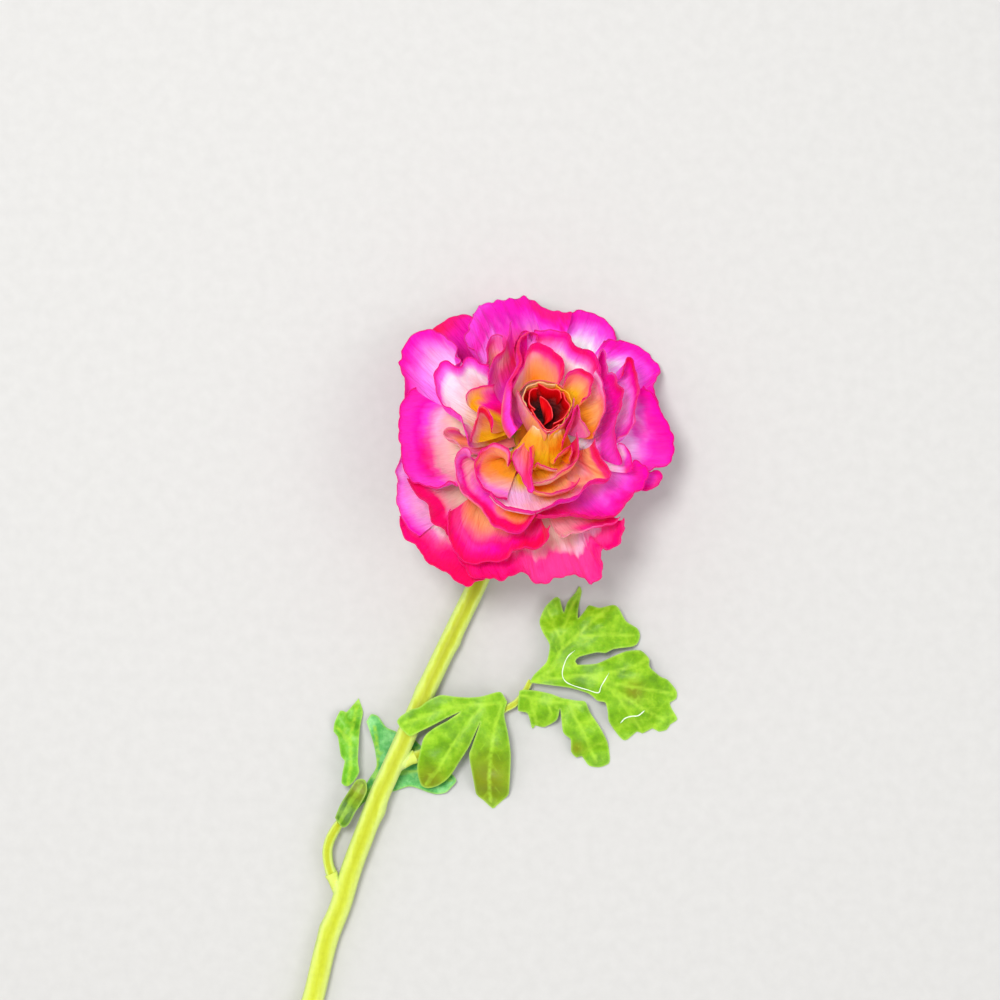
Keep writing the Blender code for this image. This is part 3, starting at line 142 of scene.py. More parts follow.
# each petal, from the eye outwards: rim is its edge in plan (mm); lift raises the rim above the dome at its
# start, middle and end; lean is how far its belly stands out past the rim, and rise is how far out and up the
# foot of the belly lies; aim is the turn of its claw in degrees; dye and the rest are its looks
petals = {
    "eye_fold": dict(
        lift=(-3, -2.2, -3), lean=0.3, aim=200, rise=(0, 0.5), dye=eyeDyeAndShade, ruffle=0.3, notch=0.6,
        rim=[(-2.4, 2.2), (-0.8, 1.2), (0.4, -0.4), (1, -2.2), (1.3, -3.6)]),
    "eye_left": dict(
        lift=(-1.6, -0.6, -1), lean=0.4, **eyeLook,
        rim=[(-3.6, -1.3), (-4.8, 0.5), (-4.9, 2.6), (-4.4, 4.3), (-2.8, 5.3)]),
    "eye_back": dict(
        lift=(-1, -0.8, -1), lean=0.3, **eyeLook,
        rim=[(-3.2, 4.9), (-1.2, 4.5), (0.5, 4), (3.2, 4), (4.3, 2.2)]),
    "eye_right": dict(
        lift=(-1, -0.6, -1), lean=0.4, **eyeLook,
        rim=[(3.8, 3.6), (4.8, 1.4), (6.2, -0.7), (5.4, -2.4), (3.2, -4.4), (1.8, -5.2)]),
    "eye_front": dict(
        lift=(-1.2, -0.8, -1.2), lean=0.6, **eyeLook,
        rim=[(3, -4.9), (0.6, -6.7), (-1.2, -5.4), (-2.8, -3), (-4.2, -0.8)]),
    "collar_back": dict(
        lift=(-1.2, -0.8, -1.2), lean=0.6, dye=[(0, amber), (0.5, orange, orange, peach),
        (2, orange, cream, cream), (4, orange, pale, pale), (7, coral, blush, blush),
        (10, deepOrange)], notch=0.2, ruffle=0.15, roll=0.1,
        rim=[(4.4, 4.8), (2.5, 5.9), (-0.5, 6.6), (-4, 6.8), (-6.8, 5.6), (-8.6, 3.8)]),
    "collar_left": dict(
        lift=(-1.2, -0.4, -0.6), lean=1.8, dye=[(0, peach), (0.4, blush, salmon, salmon),
        (3, pink, salmon, salmon), (6, pink, coral, orange), (9, deepOrange)], notch=0.15,
        ruffle=0.12, roll=0.1,
        rim=[(-7, 3.4), (-6.4, 0.8), (-5, -1.6), (-2.6, -4.9), (-1.2, -6.9), (0, -8)]),
    "collar_right": dict(
        lift=(-0.6, -0.4, -1.2), lean=1.8, dye=[(0, coral, rose, blush),
        (0.4, orange, crimson, peach), (3, orange, hotPink, orange), (6, deepOrange), (10, amber)],
        notch=0.15, ruffle=0.12, roll=0.1,
        rim=[(0.6, -7.6), (2.6, -5.9), (4.6, -4.3), (6.4, -2.6), (7.2, -0.6), (7.4, 1.8)]),
    "petal_back_inner": dict(
        lift=(-2.5, 2, 1), lean=-0.5, dye=[(0, crimson, hotPink, magenta),
        (2, crimson, hotPink, rose), (3.6, rose, rose, blush), (5.4, coral, coral, blush),
        (7.6, salmon, salmon, peach), (11, orange, deepOrange, orange), (15, deepOrange)],
        rim=[(3.6, 6.4), (4.3, 10), (4, 12), (2.5, 14.5), (0, 16.3), (-2.5, 17), (-4.5, 16.3),
        (-6, 14.5), (-6.8, 12), (-8.2, 8.6), (-9.6, 5.8)]),
    "petal_right_inner": dict(
        lift=(0, 1.5, 0), lean=-0.5, dye=[(0, crimson, crimson, magenta), (1.1, rose, crimson, rose),
        (2.2, salmon, rose, rose), (3.6, salmon, coral, coral), (6, orange, peach, coral),
        (9, amber)],
        rim=[(10.2, 1.6), (11.5, 3), (11.8, 5.4), (12.2, 8), (11, 9.6), (9, 10.3), (7.2, 9.9),
        (6, 8.6), (5.4, 7.2)]),
    "petal_strand": dict(
        lift=(0.5, 2.4, 0.5), lean=-1, rise=(0.5, 0.55), dye=[(0, rose, magenta, crimson),
        (0.6, rose, violetPink, hotPink), (2, pink, rose, hotPink), (4, pink, rose, crimson),
        (8, coral, rose, orange)],
        rim=[(-9, -12.4), (-9.6, -15.2), (-8.4, -18.4), (-6.6, -23), (-4.4, -26), (-3.9, -24.4),
        (-4.6, -20), (-4.8, -16), (-5.2, -12)]),
    "petal_tip_inner": dict(
        lift=(-1.5, 1.5, -1), lean=1.8, dye=[(0, crimson, hotPink, pink),
        (1.5, crimson, hotPink, pink), (3.5, scarlet, rose, blush), (6, deepOrange, pink, pink),
        (10, orange, rose, pink)],
        rim=[(4.2, -10.2), (4.6, -7.5), (6.2, -3.4), (8.1, 0.4), (9.1, -2.4), (10.6, -5.2),
        (11.6, -7)]),
    "petal_leafy_inner": dict(
        lift=(-4, -2, -3), lean=0.8, dye=[(0, red, red, coral), (0.9, coral, scarlet, scarlet),
        (2, salmon, scarlet, orange), (4, orange, orange, deepOrange),
        (8, amber, deepOrange, deepOrange)],
        rim=[(2.2, -15.4), (2.8, -13.4), (4.4, -11.8), (6.3, -10.7), (6.7, -12.6), (6.2, -15.2)]),
    "petal_curl_inner": dict(
        lift=(-4, -3.5, -4), lean=0.4, dye=[(0, rose, crimson, crimson), (0.3, coral, rose, blush),
        (0.8, peach, blush, white), (1.8, orange, peach, blush), (3, orange, amber, orange),
        (8, amber)],
        rim=[(-4.4, -17), (-3.2, -15.9), (-1, -16.5), (1, -17.1), (2.7, -17.6)]),
    "petal_cradle_inner": dict(
        lift=(-1, -1.5, -1.5), lean=1.2, dye=[(0, blush, crimson, rose), (0.6, blush, coral, hotPink),
        (2, cream, peach, crimson), (4, cream, peach, crimson), (7, blush, pink, hotPink),
        (10, orange, orange, crimson), (14, amber)],
        rim=[(-4.6, -20.5), (-2, -20.5), (0.4, -20.2), (2.4, -19.3), (5, -18), (7, -16.4), (8, -14),
        (8.4, -11), (8.4, -7.4)]),
    "petal_front_inner": dict(
        lift=(-0.5, -0.5, -1), lean=1, dye=[(0, salmon, rose, crimson), (0.8, peach, pink, rose),
        (2, orange, peach, coral), (5, orange, peach, rose), (9, deepOrange, orange, peach)],
        rim=[(-5, -22.2), (-1, -23.8), (4, -23.7), (7.4, -22.2), (8.4, -20)]),
    "petal_hood": dict(
        lift=(1, 4, 0), lean=4, dye=[(0, crimson, crimson, violetPink),
        (2, crimson, crimson, violetPink), (4, hotPink, magenta, rose), (6, magenta, magenta, coral),
        (9, hotPink, hotPink, peach), (13, hotPink, pink, violetPink)], ruffle=0.35,
        rim=[(-5.4, 21.2), (-7.6, 18.6), (-7.7, 15.5), (-7.2, 12), (-8.2, 8), (-9.2, 5), (-10, 0.5),
        (-9.7, -3.6), (-8.2, -6.6)]),
    "petal_right_amber": dict(
        lift=(0, 0.5, -1), lean=0.5, dye=[(0, coral, rose, violetPink), (1.2, coral, pink, lilac),
        (3, deepOrange, coral, pink), (6, orange, peach, blush), (10, orange, orange, peach)],
        rim=[(14.2, -7.8), (14.4, -5), (15.2, -2.3), (16.3, 0.2), (16.2, 2.6), (14.6, 7),
        (13.6, 10)]),
    "petal_left_red": dict(
        lift=(-0.5, 1, 0), lean=0.5, dye=[(0, hotPink, coral, coral), (1.2, red, red, rose),
        (3.4, crimson, crimson, rose), (5, peach, blush, blush), (8, peach, peach, amber),
        (12, amber)],
        rim=[(-15.2, -6.2), (-16.2, -3.2), (-18, -0.9), (-19.2, -1.6), (-20.3, -5), (-21.3, -9.3)]),
    "petal_left_amber": dict(
        lift=(-2, -2, -2), lean=0.2, dye=[(0, magenta, rose, pink), (0.8, rose, coral, blush),
        (1.8, pink, peach, cream), (5, magenta, amber, amber), (8, magenta, magenta, amber),
        (12, crimson, crimson, amber)],
        rim=[(-17, 6.2), (-19, 5.3), (-21.5, 3.8), (-22.5, 1.5)]),
    "petal_pocket": dict(
        lift=(1.5, 1.5, -0.5), lean=0.5, dye=[(0, crimson, rose, magenta),
        (1.2, pink, hotPink, magenta), (2.6, salmon, crimson, violetPink), (4, peach, hotPink, pink),
        (6.5, peach, magenta, orchid), (9, peach, salmon, blush), (14, coral, orange, orange)],
        back=[(0, hotPink), (1, magenta), (3, violetPink), (5, magenta), (9, violetPink),
        (13, hotPink)],
        rim=[(-10.4, -14.6), (-11.2, -12.2), (-13.4, -11), (-16, -10.7), (-18.8, -12.4), (-20.2, -16),
        (-20.8, -21), (-20, -24.6), (-17.6, -27.4), (-14, -28.8)]),
    "petal_boat": dict(
        lift=(1.5, 1.5, -0.5), lean=1.5, dye=[(0, magenta, magenta, rose),
        (0.7, rose, magenta, crimson), (1.6, rose, magenta, crimson),
        (2.8, white, violetPink, crimson), (5, white, pink, rose), (7, white, pink, peach),
        (9, lilac, blush, peach), (11, lilac, peach, coral), (14, lilac, amber, blush),
        (18, amber, orange, peach), (22, amber)], bleed=1.6,
        rim=[(-14.3, -21.5), (-12, -25), (-8, -28.3), (-3, -29.8), (2, -28.5), (5, -26.5),
        (8.5, -25.3), (10.5, -23), (13, -20.6), (16.4, -20.2), (17.4, -18.4), (15, -15), (12.8, -12),
        (12.6, -9)]),
    "petal_back_red": dict(
        lift=(-1, -1, -1), lean=0, dye=[(0, crimson, hotPink, magenta),
        (1.2, violetPink, violetPink, hotPink), (3, orchid, orchid, rose),
        (5, lilac, orchid, hotPink), (9, blush)],
        rim=[(-2.9, 18.8), (-3.6, 20.9), (-5, 22), (-7, 21.5), (-8.6, 19.2), (-9.5, 16.4)]),
    "petal_back_pink": dict(
        lift=(-1, 0, -1), lean=-0.5, dye=[(0, magenta, hotPink, violetPink),
        (2, hotPink, hotPink, magenta), (3.4, rose, violetPink, rose), (5, pink, orchid, pink),
        (7, pale, pale, pink), (11, blush, blush, coral)], pleat=0.15,
        rim=[(15, 8.6), (14.3, 11), (13.5, 13), (12, 15), (10, 16), (8, 16.6), (6.5, 18.5), (5, 19.8),
        (1, 20.5), (-1, 20), (-3, 19.2)]),
    "petal_right_ribbon": dict(
        lift=(-1, 1, 0), lean=1.5, dye=[(0, magenta, rose, orchid), (1.6, magenta, hotPink, magenta),
        (4, violetPink, deepPink, magenta), (7, violetPink, magenta, violetPink),
        (9.5, violetPink, violetPink, orchid), (13, lilac), (16, white, pale, lilac)], bleed=4,
        rim=[(21.3, -15.2), (19.5, -12), (19, -8), (19.5, -3), (20.3, 1), (21.2, 4.6), (19.4, 6.2),
        (18.2, 8.4), (16.4, 9), (16.5, 13.2), (15.3, 15.6), (14.5, 13)]),
    "petal_back_left_fold": dict(
        lift=(-2, 0.5, 0), lean=0.5, dye=[(0, violetPink, crimson, violetPink),
        (1.5, violetPink, hotPink, orchid), (3, magenta, pink, violetPink),
        (5.5, magenta, blush, violetPink), (9, crimson, rose, pink),
        (13, crimson, magenta, violetPink)],
        rim=[(-10.5, 23.6), (-10.4, 20), (-11.5, 16.7), (-13, 15), (-14.8, 13.3), (-15.4, 11),
        (-15.4, 8)]),
    "petal_back_left_slip": dict(
        lift=(-1, -0.5, -1), lean=0, dye=[(0, orchid, magenta, magenta),
        (1.5, pink, magenta, magenta), (3, pink, rose, pink), (6, pink, blush, pink), (9, peach)],
        rim=[(-12.6, 19.8), (-14.5, 19.5), (-16, 18), (-16.6, 15), (-17.4, 12)]),
    "petal_cup": dict(
        lift=(1, 1.5, 1), lean=1, dye=[(0, pink, rose, hotPink), (1.4, pink, coral, magenta),
        (2.6, pink, crimson, hotPink), (4, orchid, crimson, hotPink), (7, magenta, hotPink, crimson),
        (9, blush, violetPink, salmon), (11, blush, violetPink, orange),
        (13, peach, magenta, orange)],
        rim=[(-21, -13.3), (-22.8, -12.4), (-24.8, -13.8), (-25.5, -17.5), (-25.2, -21), (-23, -24.5),
        (-20, -27.5), (-17, -30.8), (-15, -34), (-12, -36), (-9, -37.3), (-6.2, -36.8), (-4.6, -35.2),
        (-3.6, -32)]),
    "petal_right_tall": dict(
        lift=(0, 1.5, 0), lean=1, dye=[(0, pink, rose, crimson), (1.6, orchid, hotPink, crimson),
        (3.4, magenta), (5.5, magenta, orchid, violetPink), (8, violetPink, lilac, orchid),
        (11, orchid, white, lilac)],
        rim=[(19.6, -9.4), (21.6, -8), (23.5, -5), (24.5, -1), (24.9, 4), (24.7, 10.2), (22.6, 13.2),
        (21.4, 9.4)]),
    "petal_right_small": dict(
        lift=(-1, -0.5, -1), lean=0.5, dye=[(0, magenta, magenta, orchid),
        (1.5, magenta, violetPink, lilac), (4, rose, violetPink, white), (7, lilac, lilac, white),
        (11, white)],
        rim=[(25.4, -15), (25, -13.2), (24, -11.6), (22, -10.8), (19.6, -10.2)]),
    "petal_heart": dict(
        lift=(1, 0, 1), lean=-0.5, dye=[(0, magenta, magenta, violetPink),
        (1.6, violetPink, magenta, violetPink), (3.2, orchid, violetPink, violetPink),
        (4.4, lilac, violetPink, violetPink), (5.6, white, lilac, orchid), (7, white, white, orchid),
        (12, blush, white, cream), (17, amber, cream, amber)], bleed=2.5, pleat=0.15,
        rim=[(-15.8, 11.6), (-18, 11.2), (-21, 12.9), (-22.6, 13.1), (-24.2, 11.2), (-25.6, 10.8),
        (-27.5, 12), (-29.4, 11.6), (-31.6, 9), (-32, 7), (-31, 4.5), (-29.5, 0.8), (-27.5, -1),
        (-25, -2.2), (-23.3, -4.2), (-22, -9.8)]),
    "petal_left_curl": dict(
        lift=(-2, -0.5, -4), lean=-1, dye=[(0, greyPink, greyPink, greyCream),
        (0.8, coral, greyPink, greyCream), (1.6, rose, greyPink, greyCream),
        (3.4, pink, greyPink, blush), (6, blush, blush, peach), (10, peach, peach, pink),
        (14, coral)], line=0.5,
        rim=[(-24.8, -6.4), (-26.4, -6.5), (-28.4, -6.9), (-28.6, -8.2), (-26.4, -9.2), (-24.8, -11),
        (-23.5, -12.3)]),
    "petal_front_right": dict(
        lift=(1, 0.5, 0), lean=0.5, dye=[(0, crimson, crimson, magenta),
        (1.5, hotPink, hotPink, magenta), (5, hotPink, deepPink, fuchsia),
        (8, hotPink, magenta, violetPink), (12, rose, violetPink, orchid),
        (16, rose, violetPink, pink)], bleed=5, pleat=0.2,
        rim=[(-3, -30.6), (5, -30.2), (13, -31), (19, -31.4), (21.5, -29), (25, -26.4), (27.4, -25.6),
        (28.6, -23.5), (29, -22), (28.2, -20), (26.6, -18.4), (24.4, -17.4)]),
    "petal_front_cream": dict(
        lift=(-0.5, -0.5, -0.5), lean=0.5, dye=[(0, greyPink, pink, rose),
        (0.8, greyPink, rose, hotPink), (3, greyCream, magenta, hotPink),
        (6, greyPink, rose, hotPink), (10, blush, blush, peach), (15, peach)], line=0.4, pleat=0.15,
        rim=[(3.8, -36.5), (4.8, -36.6), (6.4, -35.4), (10, -34.6), (14, -33.7), (18.8, -32.4),
        (20.4, -31)]),
    "petal_front_left": dict(
        lift=(1, 1, 0.5), lean=0.5, dye=[(0, hotPink, crimson, crimson), (2, crimson),
        (4.5, hotPink, hotPink, crimson), (7, rose, magenta, crimson), (8.6, rose, hotPink, hotPink),
        (10.6, coral, rose, rose), (13.2, salmon, coral, hotPink), (18, peach, peach, salmon)],
        bleed=4, pleat=0.12,
        rim=[(-27.5, -29), (-27.5, -36), (-26.5, -40), (-24, -43), (-20.5, -44.3), (-16, -43.4),
        (-12.5, -43.1), (-9.5, -40.7), (-6, -39.5), (-3.6, -39.7), (-0.8, -38.6), (0.4, -36.5),
        (0.2, -33.6)]),
    "petal_left_big": dict(
        lift=(0, 0, 1), lean=-0.5, dye=[(0, magenta, magenta, hotPink),
        (2, fuchsia, fuchsia, violetPink), (5, fuchsia, fuchsia, violetPink),
        (7, magenta, deepPink, violetPink), (9, violetPink, hotPink, violetPink),
        (11, pink, rose, pink), (13, shellPink, greyPink, greyPink), (15.5, blush), (18.5, cream),
        (22, greyCream)], bleed=5, pleat=0.15,
        rim=[(-38.6, 5.2), (-41, 2.5), (-42.6, -1), (-43.1, -6), (-42.7, -10), (-42.6, -14.4),
        (-41.2, -17.2), (-38.5, -21), (-35, -22), (-32, -22.5), (-29.5, -21.9), (-27.5, -21.2),
        (-25.7, -21.8)]),
    "petal_left_crimson": dict(
        lift=(0, 0.5, 0), lean=-0.5, dye=[(0, crimson), (1, cerise), (5.5, cerise),
        (7.4, rose, cerise, rose), (9, pink, greyPink, pink), (11, lilac, greyCream, greyPink),
        (15, white, cream, cream)],
        rim=[(-39.5, -20.5), (-36.4, -24.6), (-34.5, -26.5), (-33.3, -28.5), (-32.3, -32),
        (-30.2, -33.2), (-28.2, -34.8), (-27.4, -36.4)]),
    "outer_back": dict(
        lift=(-5, -7, -5), lean=-1, dye=[(0, hotPink, magenta, violetPink),
        (2, hotPink, magenta, violetPink), (4, magenta, magenta, fuchsia),
        (6.5, violetPink, plum, fuchsia), (8.5, mallow, plum, mallow), (11, pink, fuchsia, orchid),
        (15, rose, rose, hotPink)], bleed=10, ruffle=0.8, pleat=0.55,
        rim=[(5.5, 26.3), (0, 27.2), (-2.2, 27.8), (-4, 29), (-6.4, 30.3), (-10.5, 30.1), (-15, 28.9),
        (-19.2, 28.6), (-19.6, 27.4), (-21.2, 25.2), (-22.6, 20), (-22.2, 17.5), (-20.8, 15.6)]),
    "petal_left_upper": dict(
        lift=(-1, -2, -1), lean=-0.5, dye=[(0, violetPink, magenta, magenta),
        (1.6, violetPink, magenta, deepPink), (3, orchid, fuchsia, fuchsia),
        (5.5, lilac, mallow, mallow), (8.5, lilac, paleMallow, orchid), (12, lilac, lilac, orchid),
        (16, orchid, white, lilac)], bleed=5, pleat=0.15,
        rim=[(-25.6, 10.8), (-24.6, 12.2), (-26.1, 13.8), (-25.9, 16.2), (-27.2, 18), (-29.2, 19.5),
        (-31.5, 20.5), (-34.5, 20.7), (-37, 20.1), (-39, 18.8), (-40.6, 15), (-40.6, 12.6),
        (-41.8, 11.2), (-39.8, 7.6), (-38.9, 5), (-39.2, 1.8)]),
    "outer_right": dict(
        lift=(-2.5, -1, -2.5), lean=-0.5, dye=[(0, magenta), (2, fuchsia, deepPink, magenta),
        (4.5, fuchsia, deepPink, fuchsia), (6.5, fuchsia, plum, mallow),
        (8.5, mallow, fuchsia, paleMallow), (10.5, paleMallow, mallow, lilac),
        (13, lilac, lilac, white)], bleed=6, pleat=0.25,
        rim=[(27, -19), (29.4, -17.4), (31, -16.9), (33.4, -16.5), (34.8, -15), (35.4, -12),
        (35.1, -9.5), (33.5, -3.5), (31.6, 0.4), (30.2, 2.6), (27.6, 5.4)]),
    "outer_right_small": dict(
        lift=(-2.5, -2.5, -4), lean=0, dye=[(0, magenta), (1.5, hotPink, rose, magenta),
        (3.5, magenta, violetPink, violetPink)],
        rim=[(28.4, -23.8), (30.4, -22.2), (31.6, -20.2), (31, -18.9), (29.6, -18.4)]),
    "outer_right_upper": dict(
        lift=(-2, -4.5, -3), lean=-1, dye=[(0, magenta), (2, magenta), (4, violetPink),
        (6, orchid, violetPink, orchid), (8, lilac, orchid, lilac), (11, white, lilac, white)],
        bleed=7, ruffle=0.7, pleat=0.3,
        rim=[(30.4, -0.6), (29, 3.6), (28.7, 5.8), (30.2, 7.2), (31.5, 10), (29.5, 13.5),
        (25.5, 16.7), (21.8, 17.8), (19.4, 18), (16, 18.6)]),
    "outer_back_right": dict(
        lift=(-4, -6, -5), lean=-1, dye=[(0, magenta), (2, violetPink, magenta, magenta),
        (3.6, violetPink, violetPink, magenta), (5.5, orchid, orchid, violetPink), (7.5, lilac),
        (10, white)], bleed=8, ruffle=0.7, pleat=0.4,
        rim=[(22.4, 14.8), (19.6, 18), (18.8, 19.4), (18.5, 21), (17.2, 23), (15, 24.7), (12, 25.8),
        (9, 26.9), (7.3, 26.6), (5.6, 25.9), (2.4, 24.4)]),
    "outer_front": dict(
        lift=(0, 0.5, 0), lean=0.5, dye=[(0, crimson, rose, rose), (2, cerise, rose, hotPink),
        (4.5, hotPink, rose, hotPink), (7, hotPink, rose, rose), (9, rose, rose, rose),
        (11.2, pink, greyPink, shellPink), (14, greyPink, greyCream, shellPink), (17, greyCream)],
        bleed=8, ruffle=0.8, pleat=0.3,
        rim=[(-24.5, -42), (-21.8, -45.4), (-20.3, -48.3), (-17, -48.7), (-13, -48.5), (-9.5, -47.7),
        (-6.5, -47.3), (-3.5, -49.1), (-1, -49.6), (2, -49), (4.8, -47.9), (7.5, -46.4), (9.7, -47.9),
        (12.5, -50.3), (14.8, -46.8), (15.1, -42.6), (15.6, -39.4), (17.5, -39.6), (20.2, -37.5),
        (21.4, -34.6), (20.9, -31.6)]),
    "outer_left": dict(
        lift=(-2, 0, -2), lean=-0.5, dye=[(0, orchid, orchid, violetPink),
        (1, orchid, mallow, magenta), (3, lilac, orchid, mallow), (6, orchid, paleMallow, paleMallow),
        (9, lilac, lilac, blush), (14, greyCream)], bleed=5,
        rim=[(-38.5, -12.5), (-41.2, -17.4), (-41.8, -20), (-42.3, -24), (-42.5, -28), (-42.2, -31),
        (-41.2, -33.2), (-39.4, -34.6), (-36.4, -36.6)]),
    "outer_front_left": dict(
        lift=(0, 0, -0.5), lean=0, dye=[(0, hotPink, crimson, crimson), (3, cerise, crimson, crimson),
        (5, rose, cerise, crimson), (7, pink, cerise, crimson), (9, pale, rose, hotPink),
        (12, greyCream, greyCream, rose)], bleed=5,
        rim=[(-40.4, -30.5), (-40, -34), (-38.8, -37), (-36.5, -39.4), (-34.5, -42), (-32.3, -44),
        (-29, -46.2), (-26, -48), (-22.4, -49.6), (-20.4, -48.6), (-17, -46)]),
    "outer_back_left": dict(
        lift=(-9, -6.5, -5), lean=-1, dye=[(0, cerise, crimson, red), (2, magenta, crimson, red),
        (4.5, magenta, deepPink, crimson), (7, plum, plum, hotPink), (11, wine)],
        rim=[(-19.8, 22.8), (-21.4, 24.6), (-23.8, 25.7), (-27, 24.7), (-29.5, 23.2), (-33, 20.7),
        (-36, 14.4)]),
}


def runAlong(line):  # how far along a line each of its points lies
    return np.concatenate([[0], np.cumsum(np.linalg.norm(np.diff(line, axis=0), axis=1))])


def smoothRun(points, step=None, tension=0.5):  # a smooth curve through rows of any number of values
    points = np.array(points, float)
    padded = np.vstack([2 * points[0] - points[1], points, 2 * points[-1] - points[-2]])
    rows = []
    for index in range(len(points) - 1):
        a, b, c, d = padded[index:index + 4]
        count = max(1, round(float(np.linalg.norm(c[:3] - b[:3])) / step)) if step else 8
        for t in np.arange(count) / count:
            into, out = tension * (c - a), tension * (d - b)
            rows.append((2 * t ** 3 - 3 * t ** 2 + 1) * b + (t ** 3 - 2 * t ** 2 + t) * into
                        + (3 * t ** 2 - 2 * t ** 3) * c + (t ** 3 - t ** 2) * out)
    return np.array(rows + [points[-1]])


def rimCurve(rim, count):  # the rim as a smooth curve through its points, evenly spaced
    dense = smoothRun(rim)
    length = runAlong(dense)
    wanted = np.linspace(0, length[-1], count)
    return np.stack([np.interp(wanted, length, dense[:, side]) for side in (0, 1)], axis=-1)


def acrossFromPlan(plan, level):
    offset = plan - head["foot"][:2]
    ahead = (offset @ leanWay - level * math.sin(head["tilt"])) / math.cos(head["tilt"])
    return np.stack([ahead, offset @ beside[:2]], axis=-1)


def rimInHead(petal, count):  # the rim's coordinates across the axis, and its levels on the dome
    plan = rimCurve(petal["rim"], count)
    lift = np.interp(np.linspace(0, 1, count), [0, 0.5, 1], petal["lift"])
    level = np.full(count, head["domeTop"])
    for _ in range(40):
        radius = np.linalg.norm(acrossFromPlan(plan, level), axis=1)
        dome = head["domeTop"] - head["domeFall"] * (radius / head["domeRadius"]) ** 2.2
        level = 0.5 * level + 0.5 * (dome + lift)
    return acrossFromPlan(plan, level), level


def turnsBack(rim):  # whether the rim runs clockwise, and so from the sheet's last column
    return rim[0, 0] * rim[-1, 1] - rim[0, 1] * rim[-1, 0] < 0


def hubRadiusAt(level):
    share = np.clip(np.asarray(level, float) / head["hubHeight"], 0, 1)
    return head["hubRadius"] + (head["hubTop"] - head["hubRadius"]) * share


def highestSeat(angle, seats, angles):
    seat = head["hubHeight"] - 0.4
    for other, there in seats.items():
        apart = abs((angle - angles[other] + math.pi) % (2 * math.pi) - math.pi)
        reach = 2 * (seating["clawHalf"] + 0.25) / (hubRadiusAt(there) + seating["gap"])
        if apart < reach:
            seat = min(seat, there - seating["pitch"])
        elif apart < 2.2 * reach:
            seat = min(seat, there - seating["step"])
    return seat


def clawSeats():  # where each petal's claw sits on the hub, from the top down
    seats, angles = {}, {}
    for name, petal in petals.items():
        outward = rimInHead(petal, 15)[0].mean(axis=0)
        facing = math.radians(petal["aim"]) if "aim" in petal else math.atan2(outward[1], outward[0])
        choices = [facing + math.radians(turn) for turn in seating["turns"]]
        heights = [round(highestSeat(angle, seats, angles), 3) for angle in choices]
        best = heights.index(max(heights))
        seats[name], angles[name] = heights[best], choices[best]
    return seats, angles


def petalSurface(petal, seat, angle, columns, shares):  # from the claw out round the belly and up to the rim
    rim, level = rimInHead(petal, columns)
    if turnsBack(rim):
        rim, level = rim[::-1], level[::-1]
    radius = hubRadiusAt(seat) + seating["gap"] + 0.12
    spread = np.linspace(-1, 1, columns) * seating["clawHalf"] / radius + angle
    claw = radius * turned(spread)
    length = np.linalg.norm(rim, axis=1, keepdims=True)
    belly = rim * (length + petal["lean"]) / length
    out, up = petal.get("rise", (0.8, 0.15))
    drop = level - seat
    corners = [(claw, np.full(columns, seat)), (claw + out * (belly - claw), seat + up * drop),
               (belly, level - 0.45 * drop), (rim, level)]
    weights = [(1 - shares) ** 3, 3 * shares * (1 - shares) ** 2, 3 * shares ** 2 * (1 - shares), shares ** 3]
    across = sum(weight[..., None] * corner[0] for weight, corner in zip(weights, corners))
    height = sum(weight * corner[1] for weight, corner in zip(weights, corners))
    return headPoint(across, height)


def sheetNormals(grid):
    normals = np.cross(np.gradient(grid, axis=0), np.gradient(grid, axis=1))
    return normals / np.maximum(np.linalg.norm(normals, axis=2, keepdims=True), 1e-9)


def gridTriangles(rows, columns):
    starts = [row * columns + column for row in range(rows - 1) for column in range(columns - 1)]
    return [corners for a in starts
            for corners in ((a, a + columns + 1, a + 1), (a, a + columns, a + columns + 1))]


def halfWeights(rows, columns):  # weights that place the points of a grid and those half way between
    weights = []
    for row in np.arange(0, rows - 0.75, 0.5):
        for column in np.arange(0, columns - 0.75, 0.5):
            entry = np.zeros((rows, columns))
            low, left = int(row), int(column)
            up, right = row - low, column - left
            for step, share in ((0, 1 - up), (1, up)):
                for side, part in ((0, 1 - right), (1, right)):
                    if share * part > 0:
                        entry[low + step, left + side] += share * part
            weights.append(entry.ravel())
    return np.array(weights)


def smoothField(field, amount):
    padded = np.pad(field, ((1, 1), (1, 1), (0, 0)), mode="edge")
    around = (padded[:-2, 1:-1] + padded[2:, 1:-1] + padded[1:-1, :-2] + padded[1:-1, 2:]) / 4
    result = (1 - amount) * field + amount * around
    result[0] = 0
    return result


def pushOff(points, facings, reaches, side, tree):  # moves that put points on their side of a petal
    pushes = np.zeros_like(points)
    clearance = seating["clearance"]
    for index, point in enumerate(points):
        found, normal, _, distance = tree.find_nearest(Vector(point), reaches[index])
        if found is None:
            continue
        gap = point - np.array(found)
        normal = np.array(normal)
        signed = float(gap @ normal) * side
        facing = float(facings[index] @ normal)
        least = seating["facing"][0 if distance < clearance else 1]
        if facing < least or abs(signed) < seating["slant"] * distance:  # beside it rather than behind it
            if 1e-6 < distance < clearance:
                pushes[index] = gap / distance * (clearance - distance)
        elif signed < clearance:
            pushes[index] = normal * side * (clearance - signed)
    return pushes


def offTheHub(grid):
    offset = grid - head["foot"]
    across = np.stack([offset @ fore, offset @ beside], axis=-1)
    level = offset @ axis
    radius = np.maximum(np.linalg.norm(across, axis=-1), 1e-6)
    wanted = hubRadiusAt(level) + seating["gap"] + seating["thickness"] / 2
    short = np.where(level < head["hubHeight"] + 0.4, np.maximum(wanted - radius, 0), 0)
    short[0] = 0
    away = across / radius[..., None]
    return short[..., None] * (away[..., :1] * fore + away[..., 1:] * beside)


